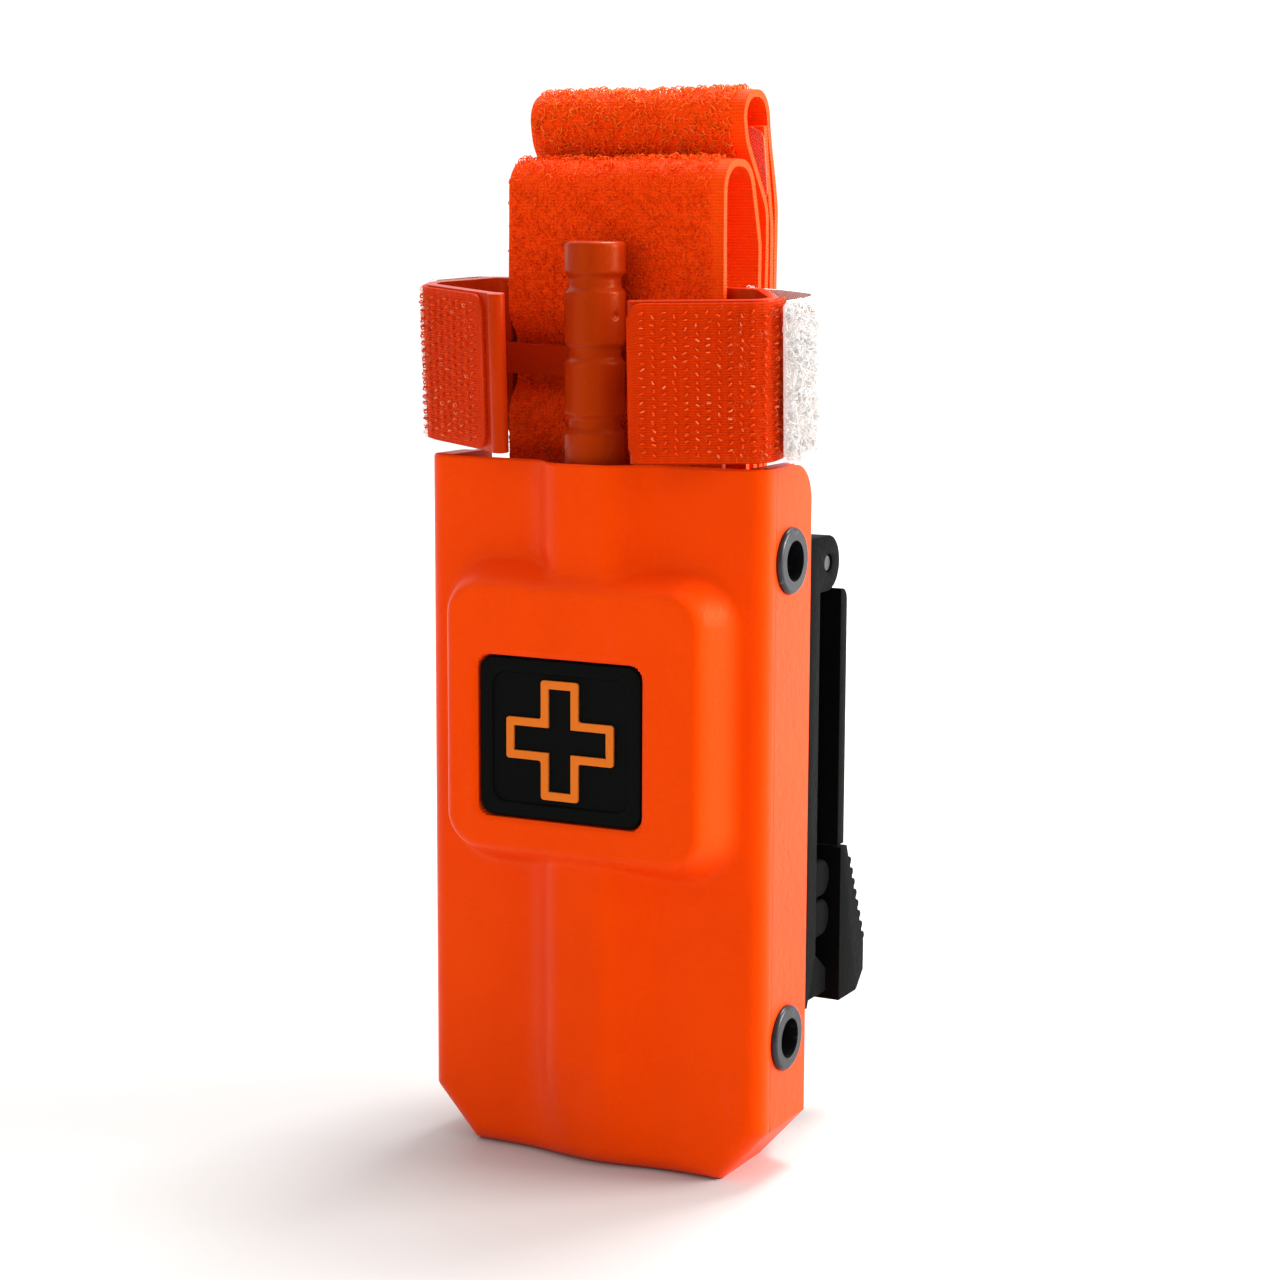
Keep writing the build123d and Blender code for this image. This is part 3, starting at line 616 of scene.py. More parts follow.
def strip(name: str, ribbon: Ribbon, columns: int, thick: float, low: float,
          corner: float = 0.0, lift: Callable | None = None) -> bpy.types.Object:
    """A solid strip of tape along a ribbon.

    Args:
        name: The piece's name.
        ribbon: The line that it follows.
        columns: Faces across.
        thick: Thickness in millimetres.
        low: Where its inner face lies, outward of the line.
        corner: Radius of its four corners.
        lift: Extra lift from (across, along in millimetres).

    Returns:
        The new object.
    """
    rows = len(ribbon.line) - 1
    length = ribbon.length

    def place(column: np.ndarray, row: np.ndarray) -> np.ndarray:
        """Points of the strip's inner face, with its corners rounded."""
        along = row / rows
        half = np.full(len(row), ribbon.width / 2)
        if corner:
            end = np.minimum(along, 1 - along) * length
            cut = np.clip(corner - end, 0, corner)
            half -= corner - np.sqrt(np.maximum(corner**2 - cut**2, 0))
        across = (column / columns * 2 - 1) * half
        extra = lift(across, along * length) if lift else np.zeros(len(row))
        return ribbon.at(across, along, low + extra)

    obj = formed_grid(name, columns, rows, place, (ribbon.width, length))
    first = obj.data.polygons[0]
    if first.normal.dot(Vector(ribbon.outer[0])) < 0:
        obj.data.flip_normals()
    modify(obj, "SOLIDIFY", thickness=thick * MM, offset=1.0, use_even_offset=False)
    smooth(obj, 50.0)
    return obj


Shape = tuple[np.ndarray, list[list[int]]]


@dataclass(frozen=True)
class Loop:
    """One small standing loop of filament.

    Attributes:
        radius: Radius of the loop, in millimetres.
        wire: Radius of the filament.
        segments: Pieces round the loop.
        sides: Sides of the filament.
        foot: How far below the loop's centre it is cut.
    """

    radius: float
    wire: float
    segments: int
    sides: int
    foot: float

    def shape(self) -> Shape:
        """Points in millimetres, with the foot at height 0, and faces."""
        let_go()
        bpy.ops.mesh.primitive_torus_add(
            major_segments=self.segments, minor_segments=self.sides, major_radius=self.radius,
            minor_radius=self.wire, rotation=(math.pi / 2, 0, math.pi / self.segments))
        obj = bpy.context.active_object
        bpy.ops.object.transform_apply(location=True, rotation=True, scale=True)
        bpy.ops.object.mode_set(mode="EDIT")
        bpy.ops.mesh.select_all(action="SELECT")
        bpy.ops.mesh.bisect(plane_co=(0, 0, -self.foot), plane_no=(0, 0, 1), clear_inner=True)
        bpy.ops.object.mode_set(mode="OBJECT")
        points = points_of(obj) + [0, 0, self.foot]
        faces = [list(face.vertices) for face in obj.data.polygons]
        bpy.data.objects.remove(obj)
        return points, faces


def stamp(name: str, template: Shape, at: np.ndarray, out: np.ndarray, along: np.ndarray,
          size: np.ndarray, turn: np.ndarray, tilt: np.ndarray) -> bpy.types.Object:
    """Copies one small shape to many places, as one piece.

    Args:
        name: The piece's name.
        template: Points in millimetres and faces of the small shape.
        at: Where each copy stands, in millimetres.
        out: Outward direction at each.
        along: Direction along the tape at each.
        size: Scale of each copy, for its three axes.
        turn: Turn about the outward direction, in radians.
        tilt: Lean of each, in radians.

    Returns:
        The new object.
    """
    points, faces = template
    count, each = len(at), len(points)
    third = np.cross(out, along)
    third /= np.linalg.norm(third, axis=1)[:, None]
    along = np.cross(third, out)
    local = points[None] * size[:, None, :]
    c, s = np.cos(tilt)[:, None], np.sin(tilt)[:, None]
    x, y, z = local[..., 0], local[..., 1] * c - local[..., 2] * s, local[..., 1] * s + local[..., 2] * c
    c, s = np.cos(turn)[:, None], np.sin(turn)[:, None]
    x, y = x * c - y * s, x * s + y * c
    place = (at[:, None] + x[..., None] * third[:, None] + y[..., None] * along[:, None]
             + z[..., None] * out[:, None])
    verts = place.reshape(-1, 3) * MM
    all_faces = [[v + k * each for v in f] for k in range(count) for f in faces]
    mesh = bpy.data.meshes.new(name)
    mesh.from_pydata(verts.tolist(), [], all_faces)
    mesh.update()
    obj = bpy.data.objects.new(name, mesh)
    bpy.context.scene.collection.objects.link(obj)
    take(obj)
    bpy.ops.object.shade_smooth()
    return obj


def stand(name: str, loop: Loop, ribbon: Ribbon, across: np.ndarray, share: np.ndarray,
          lift: np.ndarray, size: np.ndarray, turn: np.ndarray, tilt: np.ndarray) -> bpy.types.Object:
    """Stands loops on a ribbon, as one piece.

    Args:
        name: The piece's name.
        loop: The loop that is copied.
        ribbon: What the loops stand on.
        across: Millimetres from the ribbon's middle.
        share: Share of the ribbon's length.
        lift: Millimetres outward of its line.
        size: Scale of each loop, for its three axes.
        turn: Turn about the outward direction, in radians.
        tilt: Lean of each, in radians.

    Returns:
        The new object.
    """
    out = ribbon.outward_at(share)
    ahead = np.cross(np.tile(ribbon.side, (len(share), 1)), out)
    return stamp(name, loop.shape(), ribbon.at(across, share, lift), out, ahead, size, turn, tilt)


# ---- the case ----------------------------------------------------------------------


@dataclass
class Case:
    """The two moulded shells, their eyelets and the rubber patch.

    Depths are counted from the flat front, backwards, in millimetres.
    """

    width: float = 60.0
    height: float = 113.5
    cut_w: float = 7.7
    cut_h: float = 8.5
    edge_r: float = 3.1
    seam: float = 3.3
    skin: float = 1.5
    rim_drop: float = 0.35
    rim_reach: float = 0.4
    lap: float = 1.9
    flange: float = 1.7
    flange_start: float = 1.6
    flange_end: float = 14.0
    flange_r: float = 1.2
    boss: tuple[float, float] = (0.3, 73.2)
    boss_half: tuple[float, float] = (22.2, 21.3)
    boss_out: float = 8.5
    boss_slope: float = 3.6
    boss_r: float = 5.5
    boss_soft: tuple[float, float] = (2.3, 2.6)
    ridge_x: float = 0.3
    ridge_half: float = 5.2
    ridge_slope: float = 5.3
    ridge_out: float = 5.6
    ridge_foot_out: float = 2.2
    ridge_foot_h: float = 17.0
    ridge_soft: tuple[float, float] = (2.2, 2.6)
    blend: float = 2.4
    hollow: tuple[float, float, float, float] = (-7.6, 96.0, 2.4, 0.9)
    pocket_at: tuple[float, float] = (-1.7, 70.2)
    pocket_half: tuple[float, float] = (14.6, 13.0)
    pocket_r: float = 2.6
    pocket_depth: float = 3.1
    lip_drop: float = 0.5
    lip_reach: float = 1.1
    bore_r: float = 3.75
    eyelet_y: float = 8.6
    eyelet_zs: tuple[float, float] = (22.6, 98.8)

    def build(self, shell: bpy.types.Material) -> None:
        """Makes the soft front skin and the side flanges behind it."""
        self.front_skin(shell)
        self.side_flanges(shell)

    def half_width(self, z: np.ndarray) -> np.ndarray:
        """Half of the outline's width at a height."""
        share = np.clip(z / self.cut_h, 0, 1)
        return self.width / 2 - self.cut_w * (1 - share)

    def inset(self, x: np.ndarray, z: np.ndarray) -> np.ndarray:
        """Distance inside the outline, over the sides, cut corners and foot."""
        side = self.width / 2 - np.abs(x)
        slant = math.hypot(self.cut_w, self.cut_h)
        cut = ((self.width / 2 - np.abs(x)) * self.cut_h - (self.cut_h - z) * self.cut_w) / slant
        return np.minimum(np.minimum(side, cut), z)

    @staticmethod
    def round_box(x: np.ndarray, z: np.ndarray, centre: tuple[float, float],
                  half: tuple[float, float], radius: float) -> np.ndarray:
        """Signed distance to a rounded rectangle, negative inside."""
        dx = np.abs(x - centre[0]) - half[0] + radius
        dz = np.abs(z - centre[1]) - half[1] + radius
        out = np.hypot(np.maximum(dx, 0), np.maximum(dz, 0))
        return out + np.minimum(np.maximum(dx, dz), 0) - radius

    def relief(self, x: np.ndarray, z: np.ndarray) -> np.ndarray:
        """How far the front stands forward of its flat, from ridge, pad and pocket."""
        low = self.ridge_foot_out + (self.ridge_out - self.ridge_foot_out) * np.clip(
            z / self.ridge_foot_h, 0, 1)
        off = np.abs(x - self.ridge_x) - self.ridge_half
        ridge = self.ramp(off, low, self.ridge_slope, *self.ridge_soft)
        far = self.round_box(x, z, self.boss, self.boss_half, self.boss_r)
        pad = self.ramp(far, self.boss_out, self.boss_slope, *self.boss_soft)
        front = soft_most(ridge, pad, self.blend)
        hx, hz, reach, deep = self.hollow
        front = front - deep * np.exp(-((x - hx) ** 2 + (z - hz) ** 2) / reach**2)
        well = self.round_box(x, z, self.pocket_at, self.pocket_half, self.pocket_r)
        lip = self.lip_drop * np.clip(1 - well / self.lip_reach, 0, 1) ** 2 * (well > 0)
        sunk = self.boss_out - self.pocket_depth
        return np.where(well > 0, front - lip, np.minimum(front, sunk))

    @staticmethod
    def ramp(off: np.ndarray, top: np.ndarray | float, slope: float, crest: float,
             foot: float) -> np.ndarray:
        """Height of a raised form: flat inside, an even slope, soft crest and foot.

        Args:
            off: Distance outside its crest line.
            top: Its full height.
            slope: How far the slope runs out.
            crest: Reach of the rounding at the crest.
            foot: Reach of the rounding at the foot.

        Returns:
            Heights.
        """
        straight = top * (1 - off / slope)
        capped = -soft_most(-straight, -np.ones_like(off) * top, crest)
        return soft_most(capped, np.zeros_like(off), foot)

    def lines(self) -> tuple[np.ndarray, np.ndarray]:
        """Columns and rows of the front grid, close together where it turns."""
        turn = self.edge_r * (1 - np.sin(np.radians(np.linspace(0, 90, 9))))
        half = self.width / 2
        walls = np.array([1.5, 1.1, 0.8, 0.55, 0.35, 0.18, 0.06, 0.01, -0.02, -0.3, -0.7, -1.2, -1.8])
        px, pz = self.pocket_at
        hx, hz = self.pocket_half
        xs = [-half + turn, half - turn, px - hx - walls, px + hx + walls,
              np.arange(-26.4, 26.5, 0.6)]
        zs = [turn, pz - hz - walls, pz + hz + walls, np.arange(3.8, self.height - 0.3, 0.65),
              [self.height, self.height - 0.12, self.height - 0.4]]
        return self.thinned(np.concatenate(xs)), self.thinned(np.concatenate(zs))

    @staticmethod
    def thinned(places: np.ndarray) -> np.ndarray:
        """Sorted places without near repeats."""
        places = np.unique(np.round(places, 3))
        return places[np.concatenate([[True], np.diff(places) > 0.014])]

    def front_skin(self, shell: bpy.types.Material) -> bpy.types.Object:
        """The front shell's outer skin, ridge, pad and pocket in one soft surface."""
        xs, zs = self.lines()

        def place(column: np.ndarray, row: np.ndarray) -> np.ndarray:
            """Points of the skin: outline, rounded edge, rim and relief."""
            z = zs[row]
            x = xs[column] * self.half_width(z) / (self.width / 2)
            near = np.clip(self.edge_r - self.inset(x, z), 0, self.edge_r)
            drop = self.edge_r - np.sqrt(np.maximum(self.edge_r**2 - near**2, 0))
            rise = np.clip((z - self.height + self.rim_reach) / self.rim_reach, 0, 1)
            rim = self.rim_drop * rise**2
            y = FRONT_Y + drop + rim - self.relief(x, z)
            return np.stack([x, y, z], 1)

        obj = formed_grid("case_front", len(xs) - 1, len(zs) - 1, place, (self.width, self.height))
        if obj.data.polygons[len(obj.data.polygons) // 2].normal.y > 0:
            obj.data.flip_normals()
        self.run_back(obj)
        modify(obj, "SOLIDIFY", thickness=self.skin * MM, offset=-1.0)
        smooth(obj, 40.0)
        return keep(obj, "case", "shell_plastic", shell, "front_shell")

    def run_back(self, obj: bpy.types.Object) -> None:
        """Runs the skin's edge straight back to the parting line, except at the rim."""
        take(obj)
        bpy.ops.object.mode_set(mode="EDIT")
        bpy.ops.mesh.select_mode(type="EDGE")
        bpy.ops.mesh.select_all(action="DESELECT")
        bpy.ops.mesh.select_non_manifold()
        bpy.ops.object.mode_set(mode="OBJECT")
        rim = (self.height - 0.01) * MM
        verts = obj.data.vertices
        for edge in obj.data.edges:
            if edge.select and all(verts[v].co.z > rim for v in edge.vertices):
                edge.select = False
        bpy.ops.object.mode_set(mode="EDIT")
        bpy.ops.mesh.extrude_edges_move()
        bpy.ops.object.mode_set(mode="OBJECT")
        for vert in obj.data.vertices:
            if vert.select:
                vert.co.y = (FRONT_Y + self.seam) * MM
        obj.data.update()

    def side_flanges(self, shell: bpy.types.Material) -> bpy.types.Object:
        """The inner side walls that the eyelets rivet to the rear shell."""
        half, lap = self.width / 2, self.lap
        slant = math.hypot(self.cut_w, self.cut_h)
        z_side = self.cut_h + lap * (slant - self.cut_h) / self.cut_w
        x_foot = half - self.cut_w + lap * (self.cut_w - slant) / self.cut_h
        bend = self.flange_r
        corners = [(-half + lap, self.height, 0), (-half + lap, z_side, bend), (-x_foot, lap, bend),
                   (x_foot, lap, bend), (half - lap, z_side, bend), (half - lap, self.height, 0)]
        line = rounded_line(corners, 1.0)
        depths = np.array([self.flange_start, 3.3, 6.0, 9.0, 12.0, 13.6, self.flange_end])

        def place(column: np.ndarray, row: np.ndarray) -> np.ndarray:
            """Points of the walls' outer face."""
            return np.stack([line[row, 0], FRONT_Y + depths[column], line[row, 1]], 1)

        obj = formed_grid("case_flanges", len(depths) - 1, len(line) - 1, place)
        middle = obj.data.polygons[len(obj.data.polygons) // 2]
        if middle.normal.z > 0:
            obj.data.flip_normals()
        modify(obj, "SOLIDIFY", thickness=self.flange * MM, offset=-1.0)
        for z in self.eyelet_zs:
            self.bore(obj, z)
        smooth(obj, 30.0)
        return keep(obj, "case", "shell_plastic", shell)

    def bore(self, obj: bpy.types.Object, z: float) -> None:
        """Cuts an eyelet's hole through both side walls."""
        let_go()
        bpy.ops.mesh.primitive_cylinder_add(
            vertices=48, radius=self.bore_r * MM, depth=80 * MM, rotation=(0, math.pi / 2, 0),
            location=(0, (FRONT_Y + self.eyelet_y) * MM, z * MM))
        cutter = bpy.context.active_object
        bpy.ops.object.transform_apply(location=True, rotation=True, scale=True)
        modify(obj, "BOOLEAN", object=cutter, operation="DIFFERENCE", solver="EXACT")
        bpy.data.objects.remove(cutter)


# ---- the windlass --------------------------------------------------------------------


@dataclass
class Windlass:
    """The turning rod, with finger grooves at both ends and a slot for the inner band."""

    radius: float = 4.765
    length: float = 127.0
    centre_x: float = -0.4
    depth_y: float = 1.3
    top_z: float = 147.6
    groove_first: float = 5.1
    groove_pitch: float = 10.9
    groove_w: float = 2.4
    groove_depth: float = 0.67
    groove_count: int = 4
    groove_edge: tuple[float, float] = (0.55, 1.65)
    end_r: float = 0.75
    slot: tuple[float, float] = (28.0, 2.4)
    gate: tuple[float, float] = (-0.33, 11.4)
    gate_depth: float = 0.3
    gate_edge: tuple[float, float] = (0.25, 0.75)

    def profile(self) -> np.ndarray:
        """(distance from the top, radius) down the rod, with soft groove edges."""
        marks = []
        for i in range(self.groove_count):
            middle = self.groove_first + self.groove_w / 2 + i * self.groove_pitch
            marks += [middle, self.length - middle]
        places = [np.linspace(0, 0.7, 6), self.length - np.linspace(0, 0.7, 6),
                  np.arange(1.2, self.length - 1, 1.5), self.gate[1] + np.arange(-1.1, 1.1, 0.2)]
        places += [m + np.linspace(-2.2, 2.2, 23) for m in marks]
        down = Case.thinned(np.concatenate(places))
        depth = np.zeros(len(down))
        for m in marks:
            depth = np.maximum(depth, 1 - ease(np.abs(down - m), *self.groove_edge))
        end = np.minimum(down, self.length - down)
        near = np.clip(self.end_r - end, 0, self.end_r)
        turned = self.end_r - np.sqrt(np.maximum(self.end_r**2 - near**2, 0))
        return np.stack([down, self.radius - depth * self.groove_depth - turned], 1)

    def build(self, plastic: bpy.types.Material) -> bpy.types.Object:
        """Makes the rod and cuts its slot."""
        line = self.profile()
        sides = 96

        def place(column: np.ndarray, row: np.ndarray) -> np.ndarray:
            """Points of the turned profile, with the moulding gate's small dent."""
            angle = column / sides * 2 * math.pi - math.pi
            down = line[row, 0]
            off = np.hypot(self.radius * (angle - self.gate[0]), down - self.gate[1])
            radius = line[row, 1] - self.gate_depth * (1 - ease(off, *self.gate_edge))
            x = self.centre_x + radius * np.cos(angle)
            y = FRONT_Y + self.depth_y + radius * np.sin(angle)
            z = self.top_z - down
            return np.stack([x, y, z], 1)

        obj = formed_grid("windlass_bar", sides, len(line) - 1, place)
        outward(obj)
        take(obj)
        bpy.ops.object.mode_set(mode="EDIT")
        bpy.ops.mesh.select_mode(type="EDGE")
        bpy.ops.mesh.select_all(action="DESELECT")
        bpy.ops.mesh.select_non_manifold()
        bpy.ops.mesh.edge_face_add()
        bpy.ops.object.mode_set(mode="OBJECT")
        self.cut_slot(obj)
        smooth(obj, 40.0)
        return keep(obj, "windlass", "rod_plastic", plastic, "windlass_rod")

    def cut_slot(self, obj: bpy.types.Object) -> None:
        """Cuts the slot through the middle of the rod."""
        long, wide = self.slot
        middle = self.top_z - self.length / 2
        let_go()
        bpy.ops.mesh.primitive_cube_add(size=1.0)
        cutter = bpy.context.active_object
        cutter.scale = (0.03, wide * MM, long * MM)
        cutter.location = (self.centre_x * MM, (FRONT_Y + self.depth_y) * MM, middle * MM)
        bpy.ops.object.transform_apply(location=True, rotation=True, scale=True)
        modify(cutter, "BEVEL", width=wide / 2.1 * MM, segments=6, limit_method="ANGLE")
        outward(obj)
        modify(obj, "BOOLEAN", object=cutter, operation="DIFFERENCE", solver="EXACT")
        bpy.data.objects.remove(cutter)


# ---- the band --------------------------------------------------------------------------


@dataclass
class Band:
    """The long folded band: a tight web with a curly pile on one side, its end tab."""

    width: float = 38.1
    thick: float = 1.6
    web: float = 1.15
    middle_x: float = -0.4
    rim: float = 113.5
    foot: float = 14.6
    clip_z: float = 127.6
    selvedge: float = 2.2
    worn_open: float = 1.15
    astray: float = 1.0
    unevenness: float = 0.28
    pitch: float = 0.72
    jitter: float = 0.55
    loop: Loop = Loop(0.42, 0.075, 8, 3, 0.28)
    tab_length: float = 12.0
    step: float = 0.8
    seed: int = 11

    def corners(self) -> list[tuple[float, float, float]]:
        """The fold path in side view: depth, height and bend radius of each corner."""
        rim, foot, clip = self.rim, self.foot, self.clip_z
        return [
            (12.0, 30.0, 0), (12.0, rim - 7.5, 1.27), (14.6, rim - 7.5, 1.27),
            (14.6, foot - 1.2, 3.2), (8.0, foot - 1.2, 3.2), (8.0, clip - 6.8, 2.5),
            (10.7, clip - 2.6, 2.5), (10.7, clip + 4.6, 2.5), (8.0, clip + 8.8, 2.5),
            (8.0, rim + 46.5, 4.6), (17.4, rim + 46.5, 4.6), (21.0, rim + 33.5, 9),
            (21.0, rim + 24.5, 9), (17.2, rim + 4.5, 9), (17.2, foot, 1.17), (19.6, foot, 1.17),
            (19.6, rim + 4.5, 9), (23.2, rim + 24.5, 9), (23.2, rim + 39.0, 8),
            (17.4, rim + 49.5, 5), (16.3, rim + 57.2, 3.9), (25.3, rim + 57.2, 3.9),
            (27.0, rim + 38.5, 9), (27.0, rim + 24.5, 9), (24.0, rim + 4.5, 9),
            (24.0, foot, 1.07), (21.8, foot, 1.07), (21.8, rim + 4.5, 9),
            (25.1, rim + 24.5, 9), (25.1, rim + 36.5, 9), (22.3, rim + 52.0, 0),
        ]

    def ribbon(self) -> Ribbon:
        """The whole band as a ribbon, its pile side outward."""
        flat = rounded_line(self.corners(), self.step)
        ahead = directions(flat)
        share = np.linspace(0, 1, len(flat))
        loose = (share > 0.5) & (share < 0.8)
        across = self.middle_x - self.astray * ease(flat[:, 1], self.rim + 38, self.rim + 54) * loose
        line = np.stack([across, flat[:, 0] + FRONT_Y, flat[:, 1]], 1)
        outer = np.stack([np.zeros(len(flat)), -ahead[:, 1], ahead[:, 0]], 1)
        return Ribbon(line, outer, np.array([1.0, 0.0, 0.0]), self.width)

    def sway(self, ribbon: Ribbon) -> Callable[[np.ndarray, np.ndarray], np.ndarray]:
        """Gentle unevenness of the loose folds above the rim."""
        length = ribbon.length
        rows = np.linspace(0, length, len(ribbon.line))
        height = ribbon.line[:, 2]

        def lift(across: np.ndarray, along: np.ndarray) -> np.ndarray:
            """Lift at a place, none below the rim."""
            free = ease(np.interp(along, rows, height), self.rim + 2, self.rim + 16)
            return free * self.unevenness * ripple(across, along, self.seed, 8, 0.16)

        return lift

    def build(self, web: bpy.types.Material, pile: bpy.types.Material,
              pale: bpy.types.Material, tab: bpy.types.Material) -> None:
        """Makes the web, its pile where it shows, with a lighter pile colour on the upper loop as painted
        light, and the end tab.
        """
        ribbon = self.ribbon()
        lift = self.sway(ribbon)
        obj = strip("band_web", ribbon, 18, self.web, -self.thick / 2, 0.0, lift)
        keep(obj, "tourniquet", "band_fabric", web, "outer_band")
        # the upper loop's pile takes the lighter material: painted light on its top
        pieces = [self.pile_patch(name, ribbon, lift, span, pale if name.endswith("upper") else pile)
                  for name, span in self.shown_spans(ribbon).items()]
        self.width * MM
        self.end_tab(ribbon, tab)

    def shown_spans(self, ribbon: Ribbon) -> dict[str, tuple[float, float]]:
        """Shares of the length where the pile shows."""
        rows = np.linspace(0, 1, len(ribbon.line))
        y, z = ribbon.line[:, 1] - FRONT_Y, ribbon.line[:, 2]
        order = np.arange(len(rows))

        def reach(keep_these: np.ndarray) -> tuple[float, float]:
            """First and last share of the length where this holds."""
            found = order[keep_these]
            return float(rows[found[0]]), float(rows[found[-1]])

        lead = (y < 12) & (z > self.rim - 9) & (rows < 0.5) & (rows > 0.2)
        arch = (z > self.rim + 26) & (rows > 0.3) & (rows < 0.5)
        upper = (z > self.rim + 31) & (rows > 0.5) & (rows < 0.8)
        rear = (y > 23.5) & (z > self.rim - 14) & (z < self.rim + 45) & (rows > 0.6) & (rows < 0.86)
        first, (middle, last) = reach(lead)[0], reach(arch & (y < 20.5))
        top, (start, end) = reach(upper & (y < 26.0))[0], reach(rear)
        return {"band_pile_front": (first, middle), "band_pile_arch": (middle, last),
                "band_pile_upper": (top, start), "band_pile_rear": (start, end)}

    def pile_patch(self, name: str, ribbon: Ribbon, lift: Callable,
                   span: tuple[float, float], pile: bpy.types.Material) -> bpy.types.Object:
        """Curly loops over one stretch of the band, taller where it is worn open."""
        growth = self.worn_open if name.endswith("upper") else 1.0
        draw = np.random.default_rng(self.seed + len(name))
        length = ribbon.length
        low, high = span[0] * length, span[1] * length
        left, right = -self.width / 2 + 0.4, self.width / 2 - self.selvedge
        pitch, stray = self.pitch, self.jitter
        columns, rows = int((right - left) / pitch), int((high - low) / pitch)
        u, v = np.meshgrid(np.arange(columns), np.arange(rows))
        count = u.size
        across = left + (u.ravel() + 0.5 + draw.uniform(-stray, stray, count)) * (right - left) / columns
        along = low + (v.ravel() + 0.5 + draw.uniform(-stray, stray, count)) * pitch
        along = np.clip(along, low, high)
        foot = -self.thick / 2 + self.web - 0.12 + lift(across, along)
        tuft = 1 + 0.22 * ripple(across, along, 5, 6, 1.1)
        size = draw.uniform(0.75, 1.3, (count, 3)) * tuft[:, None] * growth
        obj = stand(name, self.loop, ribbon, across, along / length, foot, size,
                    draw.uniform(0, 2 * math.pi, count), draw.normal(0, 0.5, count))
        return keep(obj, "tourniquet", "band_fabric", pile)

    def end_tab(self, ribbon: Ribbon, tab: bpy.types.Material) -> bpy.types.Object:
        """The coloured end tab, on the front side of the band's last stretch."""
        keep_rows = int(self.tab_length / self.step) + 1
        line = ribbon.line[-keep_rows:]
        outer = ribbon.outer[-keep_rows:]
        part = Ribbon(line, outer, ribbon.side, self.width)
        obj = strip("end_tab", part, 16, 0.45, self.thick / 2 - 0.4, 2.0)
        keep(obj, "tourniquet", "tip_fabric", tab, "band_tip")
        return (obj, self.width * MM)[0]


# ---- windlass clip tapes and the strap ---------------------------------------------------


